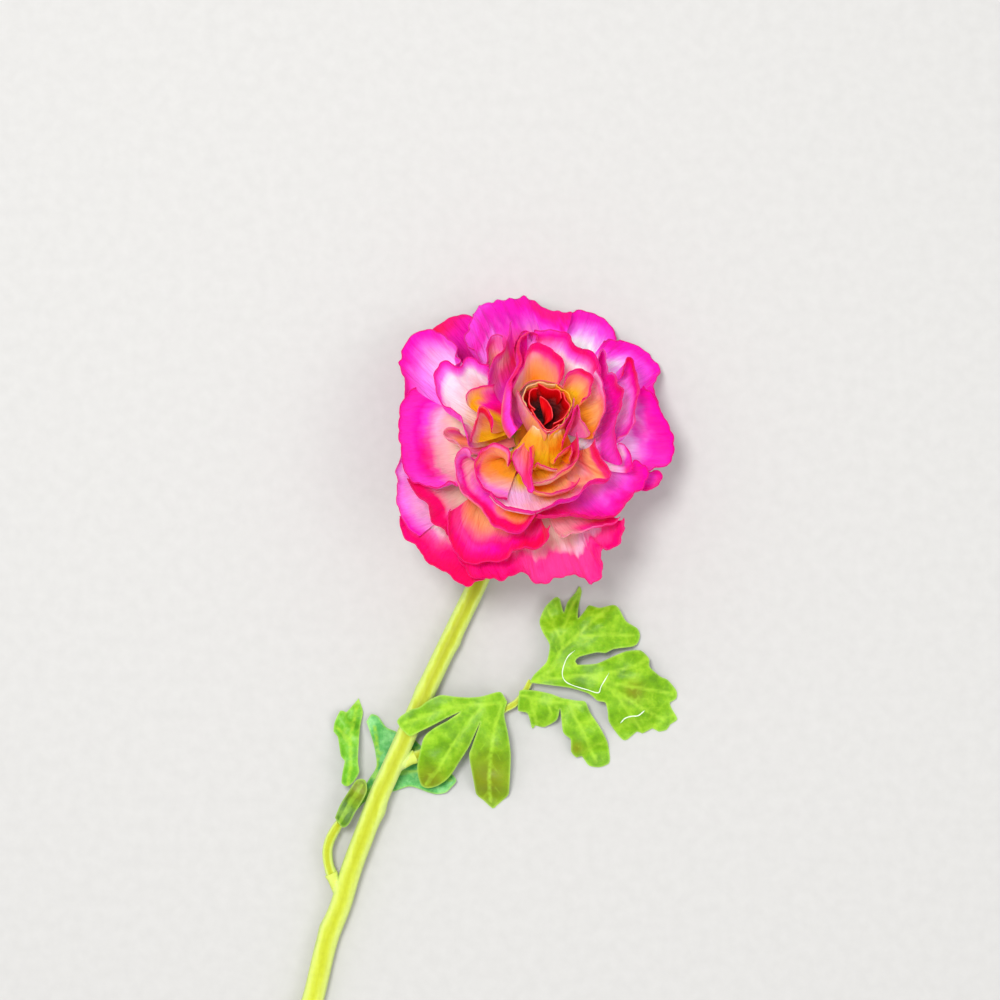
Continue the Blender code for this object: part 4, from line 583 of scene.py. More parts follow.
def settleRound(grids, weights, triangles, reach, smoothing, offsets, starts):  # petals make room once
    flats = [grid.reshape(-1, 3) for grid in grids]
    trees = [BVHTree.FromPolygons([tuple(point) for point in flat], triangles) for flat in flats]
    lows = [flat.min(axis=0) - reach for flat in flats]
    highs = [flat.max(axis=0) + reach for flat in flats]
    for order, grid in enumerate(grids):
        samples = weights @ flats[order]
        facings = weights @ sheetNormals(grid).reshape(-1, 3)
        outward = (samples - head["foot"]) @ np.stack([fore, beside], axis=1)
        reaches = np.clip(0.2 * np.linalg.norm(outward, axis=1), seating["clearance"], reach)
        total, count = np.zeros_like(samples), np.zeros(len(samples))
        for other in range(len(grids)):
            if other == order or (lows[other] > highs[order] - reach).any():
                continue
            near = ((samples > lows[other]) & (samples < highs[other])).all(axis=1)
            if not near.any():
                continue
            side = 1 if order < other else -1
            pushes = pushOff(samples[near], facings[near], reaches[near], side, trees[other])
            total[near] += pushes
            count[near] += np.linalg.norm(pushes, axis=1) > 0
        total /= np.maximum(count, 1)[:, None]
        share = weights.T @ (count > 0)
        move = (weights.T @ total) / np.maximum(share, 1e-9)[:, None] * (share > 0)[:, None]
        offsets[order] = smoothField(offsets[order] + settling["pace"] * move.reshape(grid.shape), smoothing)
    for order, start in enumerate(starts):
        offsets[order] += offTheHub(start + offsets[order])
        heights = (start + offsets[order])[..., 2]
        offsets[order][..., 2] += np.maximum(seating["thickness"] / 2 - heights, 0)
        grids[order] = start + offsets[order]


def settledPetals():  # seats and angles on the hub, and how far each petal moved to clear the others
    seats, angles = clawSeats()
    columns, rows = seating["across"], seating["upward"]
    shares = np.repeat(np.linspace(0, 1, rows)[:, None], columns, axis=1)
    starts = [petalSurface(petal, seats[name], angles[name], columns, shares)
              for name, petal in petals.items()]
    offsets = [np.zeros_like(start) for start in starts]
    grids = list(starts)
    weights = {"corners": np.eye(rows * columns), "halves": halfWeights(rows, columns)}
    triangles = gridTriangles(rows, columns)
    for rounds, points, reach, smoothing in settling["stages"]:
        for _ in range(rounds):
            settleRound(grids, weights[points], triangles, reach, smoothing, offsets, starts)
    print("petals settled")
    return seats, angles, dict(zip(petals, offsets))


def splineWeights(count, places):  # weights of a smooth curve through evenly spaced values
    weights = np.zeros((len(places), count))
    for row, place in enumerate(places):
        low = min(int(place), count - 2)
        t = place - low
        parts = (-0.5 * t + t ** 2 - 0.5 * t ** 3, 1 - 2.5 * t ** 2 + 1.5 * t ** 3,
                 0.5 * t + 2 * t ** 2 - 1.5 * t ** 3, -0.5 * t ** 2 + 0.5 * t ** 3)
        for index, part in zip(range(low - 1, low + 3), parts):
            if 0 <= index < count:
                weights[row, index] += part
            else:  # past an end the curve goes straight on
                end, inner = (0, 1) if index < 0 else (count - 1, count - 2)
                weights[row, end] += 2 * part
                weights[row, inner] -= part
    return weights


def wander(places, wavelength, chance):  # a smooth random wave along the rim, within -1 to 1
    count = max(4, int(np.max(places) / (wavelength / 2)) + 3)
    values = chance.uniform(0.35, 1.0, count) * np.where(np.arange(count) % 2 == 0, 1, -1)
    return splineWeights(count, np.clip(places / (wavelength / 2), 0, count - 1)) @ values


def waves(parts, along, chance):  # several waves of their own size and wavelength
    return sum(size * wander(along, wavelength, chance) for size, wavelength in parts)


def runLengths(grid, side):
    steps = np.linalg.norm(np.diff(grid, axis=side), axis=2)
    start = np.zeros((1, grid.shape[1]) if side == 0 else (grid.shape[0], 1))
    return np.concatenate([start, np.cumsum(steps, axis=side)], axis=side)


def rimDepth(grid):  # how far below the rim each point lies
    return runLengths(grid[::-1], 0)[::-1]


def fineGrid(petal, seat, angle, offset, chance):  # the settled petal in small steps, with notches in its rim
    rimLength = runAlong(rimCurve(petal["rim"], 60))[-1]
    columns = int(np.clip(rimLength / cloth["columnStep"], *cloth["columns"]))
    along = np.linspace(0, rimLength, columns)
    cut = petal.get("notch", cloth["notch"]) * (0.5 + waves(cloth["notches"], along, chance))
    steps = np.linspace(0, 1, cloth["rows"])[:, None] ** 0.85
    shares = steps * (1 - np.clip(cut, 0, None) / 22)
    grid = petalSurface(petal, seat, angle, columns, shares)
    down = splineWeights(offset.shape[0], shares[:, 0] * (offset.shape[0] - 1))
    over = splineWeights(offset.shape[1], np.linspace(0, offset.shape[1] - 1, columns))
    return grid + np.einsum("ri,ijk,cj->rck", down, offset, over), along


def freeGap(name, grids, trees):  # how far each point of a petal is from the nearest other petal
    grid = grids[name].reshape(-1, 3)
    gaps = np.full(len(grid), cloth["gapReach"])
    for other, tree in trees.items():
        box = grids[other].reshape(-1, 3)
        low, high = box.min(axis=0) - cloth["gapReach"], box.max(axis=0) + cloth["gapReach"]
        if other == name or (low > grid.max(axis=0)).any() or (high < grid.min(axis=0)).any():
            continue
        for index in np.flatnonzero(((grid > low) & (grid < high)).all(axis=1)):
            distance = tree.find_nearest(Vector(grid[index]), gaps[index])[3]
            if distance is not None:
                gaps[index] = distance
    return gaps.reshape(grids[name].shape[:2])


def ruffled(petal, grid, along, gap, chance):  # waves and a roll that grow towards the rim
    depth = rimDepth(grid)
    ruffle, pleat = petal.get("ruffle", cloth["ruffle"]), petal.get("pleat", 0)
    parts = [(share * ruffle, wavelength, fade) for share, wavelength, fade in cloth["ruffles"]]
    push = -petal.get("roll", cloth["roll"]) * np.exp(-depth / cloth["rollDepth"])
    for size, wavelength, fade in [*parts, (pleat, *cloth["pleats"])]:
        push += size * wander(along, wavelength, chance) * np.exp(-depth / fade)
    limit = np.maximum((gap - cloth["thickness"] - cloth["gapLeft"]) / 2, 0.02)
    return grid + sheetNormals(grid) * (limit * np.tanh(push / limit))[..., None]


def offTheFloor(points):  # bends what would sink into the floor smoothly onto it
    over = points[..., 2:] - cloth["floorGap"]
    height = cloth["floorGap"] + (over + np.sqrt(over ** 2 + 0.1)) / 2
    return np.concatenate([points[..., :2], height], axis=-1)


def asSeen(points):  # the drawing is as seen from above, where lower points stand a little further out
    grown = 1 + (view["eyeHeight"] - points[..., 2:]) * mm / view["distance"]
    plan = view["middle"] + (points[..., :2] - view["middle"]) * grown
    return np.concatenate([plan, points[..., 2:]], axis=-1)


def dyeDepths(grid):  # distance from the rim and the side edges, as the dye soaked in
    top, across = rimDepth(grid), runLengths(grid, 1)
    rise = np.linspace(0, 1, grid.shape[0])[:, None]
    side = np.minimum(across, across[:, -1:] - across) * dyeing["sides"] + (1 - rise) ** 1.5 * dyeing["claw"]
    soften = dyeing["soften"]
    depth = -soften * np.log(np.exp(-top / soften) + np.exp(-side / soften)) + 0.02
    depth = np.where(depth < 3 * soften, (np.minimum(top, side) + depth) / 2, depth)
    return np.maximum(depth, 0)


def storeValue(mesh, label, values):  # a number, or a row of three, for each point of a mesh
    kind, key = ("FLOAT", "value") if values.ndim == 1 else ("FLOAT_VECTOR", "vector")
    mesh.attributes.new(label, kind, "POINT").data.foreach_set(key, values.astype(np.float32).ravel())


def smoothShade(mesh, angle):
    mesh.polygons.foreach_set("use_smooth", np.ones(len(mesh.polygons), bool))
    mesh.set_sharp_from_angle(angle=math.radians(angle))


def drawnMesh(name, points, faces):  # a mesh from points in mm of the drawing
    mesh = bpy.data.meshes.new(name)
    mesh.from_pydata(((points + shift) * mm).tolist(), [], faces)
    return mesh


def place(name, mesh, finish, slot=None, node=None):  # a piece, for a node of the frame or besides them
    piece = bpy.data.objects.new(name, mesh)
    bpy.context.scene.collection.objects.link(piece)
    mesh.materials.append(finish)
    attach(piece, "root")
    if node:
        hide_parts(node)


def makeSheet(name, grid, petal, slot, order, isNode=False):  # a closed thin sheet about a grid of points
    rows, columns = grid.shape[:2]
    size = rows * columns
    half = sheetNormals(grid) * cloth["thickness"] / 2
    points = np.vstack([(grid + half).reshape(-1, 3), (grid - half).reshape(-1, 3)])
    points[:, 2] = np.maximum(points[:, 2], cloth["lowest"])
    a = (np.arange(rows - 1)[:, None] * columns + np.arange(columns - 1)).ravel()
    quads = np.stack([a, a + columns, a + columns + 1, a + 1], axis=1)
    border = np.concatenate([np.arange(columns), np.arange(1, rows) * columns + columns - 1,
                             (rows - 1) * columns + np.arange(columns - 2, -1, -1),
                             np.arange(rows - 2, 0, -1) * columns])
    after = np.roll(border, -1)
    rim = np.stack([after, border, border + size, after + size], axis=1)
    title = name + "_cloth" if isNode else name
    mesh = drawnMesh(title, points, np.vstack([quads, quads[:, ::-1] + size, rim]).tolist())
    depth = dyeDepths(grid) if isNode else rimDepth(grid)
    share = np.linspace(0, 1, columns)
    if isNode and turnsBack(rimInHead(petal, 15)[0]):
        share = share[::-1]
    run, apart = runLengths(grid, 1), dyeing["apart"] * order
    spot = np.stack([run - run[:, -1:] / 2, rimDepth(grid), np.full(run.shape, apart)], axis=-1)
    storeValue(mesh, "dyeDepth", np.tile(depth.ravel(), 2))
    storeValue(mesh, "rimShare", np.tile(share, 2 * rows))
    storeValue(mesh, "clothPlace", np.tile(spot.reshape(-1, 3), (2, 1)))
    storeValue(mesh, "backFace", np.repeat([0.0, 1.0], size))
    smoothShade(mesh, cloth["sharp"])
    place(title, mesh, clothFinish(name + "_dye", petal), slot, name if isNode else None)


def addNode(tree, kind, inputs=(), **settings):  # a node with its settings, and its inputs set or linked
    made = tree.nodes.new("ShaderNode" + kind)
    for key, value in settings.items():
        setattr(made, key, value)
    for key, value in dict(inputs).items():
        if isinstance(value, bpy.types.NodeSocket):
            tree.links.new(value, made.inputs[key])
        else:
            made.inputs[key].default_value = value
    return made


def stored(tree, label, kind="Fac"):  # a value that the mesh holds for each point
    return addNode(tree, "Attribute", attribute_name=label).outputs[kind]


def noise(tree, spot=None, scale=1.0, detail=3.0, **more):
    inputs = {"Scale": scale, "Detail": detail, **more}
    if spot is not None:
        inputs["Vector"] = spot
    return addNode(tree, "TexNoise", inputs).outputs["Fac"]


def worked(tree, operation, *values):
    return addNode(tree, "Math", dict(enumerate(values)), operation=operation).outputs[0]


def scaled(tree, vector, factor):
    return addNode(tree, "VectorMath", {0: vector, 1: factor}, operation="MULTIPLY").outputs[0]


def ranged(tree, value, before, after=(0.0, 1.0), **settings):  # carries one range of values over to another
    limits = dict(zip(("From Min", "From Max", "To Min", "To Max"), (*before, *after)))
    return addNode(tree, "MapRange", {"Value": value, **limits}, **settings).outputs[0]


def mixed(tree, share, first, second):
    return addNode(tree, "MixRGB", {"Fac": share, "Color1": first, "Color2": second}).outputs[0]


def ramped(tree, share, stops, span=1):  # colours at their places along a span
    ramp = addNode(tree, "ValToRGB", {"Fac": share})
    elements = ramp.color_ramp.elements
    while len(elements) > 1:
        elements.remove(elements[-1])
    for number, (place, colour) in enumerate(stops):
        stop = elements[0] if number == 0 else elements.new(min(place / span, 1))
        stop.position = min(place / span, 1)
        stop.color = tint(*colour)
    return ramp.outputs["Color"]


def raised(tree, height, strength, distance, under=None):
    inputs = {"Height": height, "Strength": strength, "Distance": distance}
    if under is not None:
        inputs["Normal"] = under
    return addNode(tree, "Bump", inputs).outputs[0]


def newFinish(name, **settings):
    finish = bpy.data.materials.new(name)
    finish.use_nodes = True
    for key, value in settings.items():
        finish.node_tree.nodes["Principled BSDF"].inputs[key.replace("_", " ")].default_value = value
    return finish, finish.node_tree


def closeFinish(finish, colour, bump=None):
    inputs = finish.node_tree.nodes["Principled BSDF"].inputs
    finish.node_tree.links.new(colour, inputs["Base Color"])
    if bump is not None:
        finish.node_tree.links.new(bump, inputs["Normal"])
    return finish


def speckledFinish(name, scale, detail, stops, bump=None, **settings):
    finish, tree = newFinish(name, **settings)
    grain = noise(tree, None, scale, detail)
    return closeFinish(finish, ramped(tree, grain, stops), raised(tree, grain, *bump) if bump else None)


def bathColour(tree, rows, depth, across):  # the dye at a depth, between the thirds along the rim
    thirds = range(3 if any(len(row) > 2 for row in rows) else 1)
    sides = [ramped(tree, depth, [(row[0], row[min(1 + side, len(row) - 1)]) for row in rows], dyeing["span"])
             for side in thirds]
    colour = sides[0]
    for side, start in zip(sides[1:], dyeing["thirds"]):
        share = ranged(tree, across, (start, start + dyeing["blend"]), interpolation_type="SMOOTHSTEP")
        colour = mixed(tree, share, colour, side)
    return colour


def clothFinish(name, petal):
    inEye = petal["dye"] is eyeDyeAndShade
    finish, tree = newFinish(name, Roughness=0.62, Sheen_Weight=0.0 if inEye else 0.04, Sheen_Roughness=0.4,
                             Specular_IOR_Level=0.1 if inEye else 0.15, Subsurface_Scale=0.0016,
                             Subsurface_Weight=0.1 if inEye else 0.65, Subsurface_Radius=(1.0, 0.5, 0.6))
    depth, spot = stored(tree, "dyeDepth"), stored(tree, "clothPlace", "Vector")
    streak = noise(tree, scaled(tree, spot, dyeing["streak"]))
    cloud = noise(tree, scaled(tree, spot, dyeing["cloud"]), detail=2.5)
    uneven = worked(tree, "SUBTRACT", worked(tree, "MULTIPLY_ADD", streak, 0.4, cloud), 0.7)
    inward = ranged(tree, depth, (0.4, 5.0), (0.0, petal.get("bleed", dyeing["bleed"])))
    soaked = worked(tree, "ADD", depth, worked(tree, "MULTIPLY", uneven, inward))
    soaked = worked(tree, "MULTIPLY", soaked, 1 / dyeing["span"])
    across = worked(tree, "ADD", stored(tree, "rimShare"), ranged(tree, cloud, (0.3, 0.7), (-0.12, 0.12)))
    colour = bathColour(tree, petal["dye"], soaked, across)
    if "back" in petal:
        backColour = bathColour(tree, petal["back"], soaked, across)
        colour = mixed(tree, stored(tree, "backFace"), colour, backColour)
    line = petal.get("line", dyeing["line"])
    if line and not inEye:
        colour = mixed(tree, ranged(tree, depth, dyeing["lineDepth"], (line, 0.0)), colour, tint(*rimLine))
    fibres = noise(tree, scaled(tree, spot, dyeing["fibre"]), detail=4.0)
    colour = scaled(tree, colour, ranged(tree, fibres, (0.3, 0.7), (0.93, 1.06)))
    warp, weft = (addNode(tree, "TexWave", {"Vector": spot, "Scale": 1.1}, bands_direction=way).outputs["Fac"]
                  for way in "XY")
    weave = raised(tree, worked(tree, "MULTIPLY", warp, weft), 0.12, 0.00008)
    return closeFinish(finish, colour, raised(tree, streak, 0.7, 0.0013, weave))


def makePetals():
    seats, angles, offsets = settledPetals()
    chances = {name: np.random.default_rng(seeds["petals"] + order) for order, name in enumerate(petals)}
    fine = {name: fineGrid(petal, seats[name], angles[name], offsets[name], chances[name])
            for name, petal in petals.items()}
    grids = {name: grid for name, (grid, along) in fine.items()}
    trees = {}
    for name, grid in grids.items():
        sparse = grid[::2, ::2]
        trees[name] = BVHTree.FromPolygons([tuple(point) for point in sparse.reshape(-1, 3)],
                                           gridTriangles(*sparse.shape[:2]))
    for order, (name, petal) in enumerate(petals.items()):
        gap = freeGap(name, grids, trees)
        grid = offTheFloor(asSeen(ruffled(petal, *fine[name], gap, chances[name])))
        slot = "eye_fabric" if petal["dye"] is eyeDyeAndShade else "petal_fabric"
        makeSheet(name, grid, petal, slot, order, True)
    print("petals made:", len(petals))


# the bowl of the eye: how wide it is at each turn round the head (degrees, mm), how its rim frays (size and
# wavelength of each wave) and its dye, whose fall to near black deep in the bowl is painted shade
eyeBowl = dict(turns=[-14, 7, 29, 48, 66, 91, 130, 178, 204, 240, 272, 301, 321, 346],
               widths=[8.9, 8.9, 9.0, 9.2, 8.6, 5.6, 3.7, 4.2, 6.0, 5.5, 5.9, 7.1, 8.8, 8.9],
               rim=25.1, foot=19.3, columns=97, rows=22, fray=[(0.45, 3.0), (0.25, 1.1)], dent=(0.25, 2.6),
               bleed=1.0, line=0,
               # painted shade: from 3 mm in, the bowl's red darkens to near black
               dye=[(0, peach, coral, orange), (0.6, peach, scarlet, deepOrange),
                    (1.6, orange, scarlet, deepOrange), (2.2, scarlet), (3, (200, 0, 14)), (6, (90, 0, 4)),
                    (9, (30, 0, 0))])
# the faces in front of it: turns from side to side, and the radius and level of the top and the foot
throatShape = dict(columns=41, rows=24, length=14, dent=(0.18, 4.5), bow=0.5, droop=0.8)
throats = {
    "throat_left": dict(dye=[(0, cream), (0.4, peach), (2.5, orange), (6, orange), (9, amber)], line=0,
                        turns=(-202, -146), top=(5.4, 24.6), foot=(12.6, 13.0)),
    "throat_right": dict(dye=[(0, blush), (0.5, peach), (2, orange), (6, deepOrange), (9, amber)], line=0,
                         turns=(-150, -100), top=(6.4, 24.2), foot=(11.8, 12.6)),
}


def makeEyeBowl():
    chance = np.random.default_rng(seeds["eye"])
    turns = np.linspace(0, 360, eyeBowl["columns"])
    wide = np.interp(turns, eyeBowl["turns"], eyeBowl["widths"], period=360)
    wide = np.convolve(np.concatenate([wide[-4:-1], wide, wide[1:4]]), np.ones(7) / 7, "valid")
    fray = waves(eyeBowl["fray"], turns / 10, chance)
    fray[-1] = fray[0]
    share = np.linspace(0, 1, eyeBowl["rows"])[:, None]
    radius = (wide * (0.1 + 0.9 * np.sin(share * math.pi / 2) ** 0.6)
              + waves([eyeBowl["dent"]], turns / 10, chance) * share ** 2)
    radius[:, -1] = radius[:, 0]
    level = eyeBowl["foot"] + (eyeBowl["rim"] + fray - eyeBowl["foot"]) * share ** 1.7
    around = radius[..., None] * turned(np.radians(turns))
    makeSheet("eye_bowl", headPoint(around, level), eyeBowl, "eye_fabric", 60)
    columns = throatShape["columns"]
    share, sides = np.linspace(0, 1, throatShape["rows"])[:, None], np.linspace(-1, 1, columns)
    along = np.linspace(0, throatShape["length"], columns)
    for order, (name, throat) in enumerate(throats.items()):
        (topRadius, top), (footRadius, foot) = throat["top"], throat["foot"]
        radius = footRadius + (topRadius - footRadius) * share ** 1.3 - throatShape["bow"] * sides ** 2
        radius += waves([throatShape["dent"]], along, chance)
        level = foot + (top - foot) * share - throatShape["droop"] * sides ** 4
        around = radius[..., None] * turned(np.radians(np.linspace(*throat["turns"], columns)))
        makeSheet(name, headPoint(around, level), throat, "petal_fabric", 61 + order)
    print("eye bowl made")

# the leaves: outline, heights of the blade, veins and darker patches, all in mm of the drawing
leafCloth = dict(thickness=0.42, pitch=1.0, edgeStep=0.8, pucker=0.4, curl=0.45, wave=0.55, tension=0.38,
                 stray=0.12, branches=dict(first=3.0, last=1.5, apart=2.6, turn=math.radians(42)),
                 # edge is the pale green of a painted highlight along the leaf edges
                 aged=(118, 130, 0), vein=(160, 204, 50), edge=(176, 214, 96))
# deep, fresh and pale greens of the upper side, and the green of the underside
freshTones = ((92, 140, 0), (116, 168, 6), (150, 196, 40), (140, 190, 96))
coolTones = ((80, 142, 16), (104, 170, 34), (144, 200, 84), (130, 190, 110))
blueTones = ((52, 132, 50), (84, 166, 84), (136, 204, 126), (130, 190, 110))
darkTones = ((58, 96, 4), (84, 124, 8), (124, 160, 30), (120, 160, 60))
leaves = {
    "leaf_mid": dict(
        outline=[(-11.4, -82.9), (-13, -80.3), (-14.5, -80.2), (-18.5, -81.3), (-22, -81.6),
        (-26, -81.3), (-30, -80.9), (-33.5, -82.5), (-36, -84.3), (-38, -84.8), (-41, -86.7),
        (-42, -88), (-41.5, -89.3), (-39.8, -91.3), (-38.5, -92.3), (-36, -91.2), (-31, -88.7),
        (-28, -87.1), (-24.5, -85.6), (-28, -88), (-31, -89.6), (-33.5, -91.4), (-34.8, -93.2),
        (-36, -98), (-36.5, -101), (-36.2, -104), (-35.3, -106.5), (-33.5, -107.2), (-31, -106.5),
        (-28.5, -104.8), (-26.5, -102.5), (-25, -100), (-22, -95.2), (-18.9, -88.4), (-21.3, -95.5),
        (-22, -98), (-20.8, -105), (-20, -109), (-18, -110.8), (-15.5, -113), (-14.3, -112.2),
        (-11.2, -109.3), (-10.8, -107), (-10.4, -98), (-10.8, -94), (-11.3, -91), (-12.2, -87),
        (-12.1, -85.4)],
        heights=[(-12, -84, 4.8), (-20, -84, 7.2), (-30, -84.5, 8.6), (-38, -88, 9), (-41, -89, 9),
        (-27, -92, 7.8), (-31, -99, 7.4), (-33, -103, 5), (-34, -106.5, 2.6), (-16, -94, 7),
        (-16, -103, 4.5), (-16, -112, -1.2)],
        veins=[[(-11.8, -83), (-18, -83.5), (-26, -84), (-33, -86.2), (-40, -88.6)], [(-18, -83.8),
        (-22, -88), (-26, -94), (-31, -102), (-34, -106)], [(-13, -84.5), (-15, -90), (-16, -98),
        (-16.5, -105), (-16, -111)]],
        olive=[(-17, -105, 9), (-33, -105, 5)], tones=freshTones),
    "leaf_right_upper": dict(
        outline=[(-5.2, -77.6), (-4, -75.5), (-2, -73.5), (-0.3, -71.5), (0.4, -67), (-1.5, -63.5),
        (-2.4, -60.5), (-0.8, -56.5), (2, -53.8), (3.3, -54.2), (4.4, -58), (5.4, -55.3),
        (7.8, -52.5), (8.8, -50.8), (9.5, -52.2), (8.5, -57), (8.4, -59.6), (10.5, -57.3),
        (11.5, -56), (14.5, -56.7), (18.2, -55.9), (19.7, -56.7), (21.8, -60.4), (25, -62.5),
        (25.8, -64.5), (25.3, -66.4), (24, -67.5), (18.5, -68.2), (16, -69.3), (13.5, -69.1),
        (8.6, -70.4), (7.6, -71.6), (8.2, -72.5), (13.5, -72.2), (18, -70.3), (22, -68.8),
        (26, -68.7), (28.3, -71), (28.4, -73.2), (31.5, -76), (33.5, -76.9), (36, -80), (36, -82.2),
        (34.2, -83.4), (34.7, -85), (36.3, -88), (34.3, -89.5), (33.3, -91), (31, -91.5),
        (29.3, -90.6), (26.5, -92), (25, -91.5), (22.3, -93.7), (21, -93.8), (19.3, -92), (17, -88.5),
        (16.7, -86), (16, -83.2), (13.8, -82.6), (11.4, -80.6), (6, -79), (0, -78.2)],
        heights=[(-4.4, -77, 4.6), (4, -73, 5.6), (3, -64, 6.4), (1, -57, 3.2), (9, -52, -0.8),
        (14, -63, 6.2), (22, -62, 3.6), (25.5, -65, 0.9), (14, -76, 6.4), (24, -76, 6),
        (24, -84, 4.6), (35, -81, 0.4), (34, -89, -1.2), (22, -93, -0.4)],
        veins=[[(-4.6, -77.3), (1, -74), (4, -68), (4.4, -62)], [(4, -67), (1.5, -61), (0, -56.5)],
        [(4.4, -62), (7, -56), (8.8, -51.5)], [(4, -68), (10, -62.5), (14, -59), (17, -57)],
        [(8, -64.8), (16, -64), (24, -64.5)], [(-4, -77.2), (6, -75.8), (16, -75), (24, -73),
        (28, -71)], [(10, -75.5), (20, -78), (28, -79.5), (35, -81)], [(14, -76.5), (20, -82),
        (24, -88), (26, -91)], [(18, -79.3), (26, -84.5), (33, -88.5)]],
        olive=[(24, -80, 3)], tones=freshTones),
    "leaf_right_lower": dict(
        outline=[(-8, -79.8), (-6.5, -79.5), (-3, -79.9), (1, -80.8), (4, -81.9), (8, -82.6),
        (10.4, -82.9), (11.8, -86), (14.5, -90), (16.7, -94.5), (17.4, -99), (17, -100.5),
        (14.5, -101.5), (11.5, -101), (9.5, -98.4), (8, -98.7), (6.5, -97), (6.3, -93.5),
        (4.2, -91.4), (3.4, -85), (2.5, -88), (-1, -90.2), (-3.5, -89.8), (-4.4, -90.6),
        (-5.7, -86.3), (-8.3, -85.5), (-8.3, -82.5)],
        heights=[(-7.6, -81.2, 5), (-4, -86, 3), (-4.4, -90.4, 0.5), (2, -83, 4.2), (8, -86, 3.8),
        (10, -92, 3.4), (13, -100, -1.2)],
        veins=[[(-7.6, -81), (-2, -82.5), (4, -83.2), (9, -84)], [(-5, -81.6), (-4, -86),
        (-3, -89.5)], [(0, -82.8), (1, -87), (0, -89.8)], [(6, -83.2), (8, -88), (11, -94),
        (13.5, -100)]],
        olive=[(8, -96, 2)], tones=freshTones),
    "leaf_left_front": dict(
        outline=[(-53, -82.2), (-51.8, -86), (-52.5, -90), (-53, -99), (-52.7, -102.5),
        (-54.3, -105.3), (-56, -106.5), (-57.6, -105.6), (-57.2, -102), (-56.7, -99.3), (-57.8, -98),
        (-58.8, -92.8), (-60, -91.4), (-59.6, -88.6), (-58, -85.5), (-56.5, -86), (-55, -84.5)],
        heights=[(-55.8, -105.8, 5.4), (-54.8, -100, 6.4), (-54.6, -93, 5.2), (-59.6, -90.5, 1.6),
        (-54, -86, 1.4), (-53, -82.6, -1.2)],
        veins=[[(-55.8, -106), (-55, -100), (-55.2, -93), (-53.8, -86), (-53, -82.8)], [(-55.2, -95),
        (-57.5, -91.5), (-59.4, -90)]],
        tones=coolTones),
    "leaf_left_back": dict(
        outline=[(-50.8, -88.6), (-49.5, -86.6), (-47.5, -87.2), (-45.3, -90.2), (-42, -91.7),
        (-38, -93.2), (-35, -96), (-30.5, -99.6), (-26.8, -103.3), (-25.6, -105.2), (-27, -107),
        (-28.5, -108.5), (-31, -109), (-33.5, -108.5), (-36.5, -107.3), (-39, -106.8), (-43, -108.2),
        (-47, -108.8), (-50.4, -110.4), (-53.6, -113.4), (-56.2, -116.8), (-57.6, -116.2),
        (-55.4, -112.2), (-52.6, -108.6), (-50, -104.6), (-48, -101), (-48.8, -95)],
        heights=[(-57, -116.6, 4.7), (-54.6, -113.2, 4.3), (-51.6, -109.6, 2.4), (-48, -105, 0.8),
        (-45, -108, 0.5), (-43, -99, 0.3), (-38, -101, 0.2), (-30, -104, 0.3), (-26.5, -105.5, 1.3),
        (-49.5, -88, 1.6), (-46, -94, 0.3)],
        veins=[[(-57, -116.6), (-53, -111.5), (-48.5, -106.8), (-42, -103), (-34, -102.5),
        (-27, -105)], [(-48.5, -106.8), (-47.5, -98), (-48.5, -90)], [(-46, -105), (-41, -97.5),
        (-36, -96)]],
        tones=blueTones),
    "leaf_left_fold": dict(
        outline=[(-59.4, -115.2), (-58, -111.6), (-56, -108.4), (-53.4, -104.6), (-51, -104.6),
        (-50.4, -107.4), (-51.6, -110.2), (-53.6, -113.4), (-55.6, -117), (-57.4, -117.8)],
        heights=[(-57.6, -116.4, 6.4), (-55.4, -112.4, 6.5), (-57.4, -111.6, 6), (-52.6, -107.8, 7.4),
        (-51.8, -110.2, 6.8), (-50.8, -107.2, 7), (-53.2, -105, 6.8)],
        veins=[[(-58.2, -116.6), (-55.6, -111.8), (-52, -106)]],
        olive=[(-52.6, -107.5, 3.2)], tones=darkTones),
}
lowScale = 1.033  # the stem and leaves lie lower than the eye, so they are drawn a little small

# the stem: centreline points with their heights, thickness, cut end, moulded ridges (share of the height of a
# ridge, number round the stem, start and twist) and small knuckles (place, length and size)
stem = dict(
    line=[(-70.5, -178, 2.85), (-66, -167, 2.85), (-61.8, -150, 3), (-58, -140, 3.4), (-55, -130, 4),
          (-51.3, -120, 4.7), (-47.5, -110, 5.2), (-43, -100, 5.3), (-38.5, -90, 5),
          (-32.7, -77, 4.3), (-26, -63, 3.5), (-19, -48.5, 3), (-13.4, -35, 2.85)],
    radius=2.85, taper=0.25, bend=11.0, bevel=0.35, bore=1.3, boreDepth=9.0, wire=0.95, wireProud=1.5,
    overlap=0.8, sides=44,
    ridge=0.045, ridges=[(0.55, 2, 0, 0), (0.3, 5, 0, 1 / 70), (0.22, 9, 1.3, 1 / 45)],
    knuckles=[(-44.4, -114.6, 5.2, 0.6), (-24.4, -66.8, 4.0, 0.35), (-34.6, -80.4, 3.6, 0.3),
              (-62.6, -146.0, 4.4, 0.4)])
# the stubs that hold the side stalks: inner end, mouth and radius
sockets = [((-43.4, -101, 5.2), (-37.7, -98.45, 4.8), 1.8), ((-57.2, -138, 3.6), (-60.3, -131.6, 4), 1.7)]
# greens of the stem from its middle line out to its sides, at the cut end and under the head; the paler
# greens out at the sides are a painted highlight
caneTonesWithHighlight = ([(0.0, (184, 192, 34)), (0.3, (192, 202, 60)), (0.55, (204, 216, 96)), (0.85, (206, 220, 116)),
              (1.0, (188, 204, 110))],
             [(0.0, (146, 154, 0)), (0.28, (154, 164, 0)), (0.46, (168, 184, 16)), (0.66, (194, 216, 108)),
              (1.0, (188, 214, 120))])
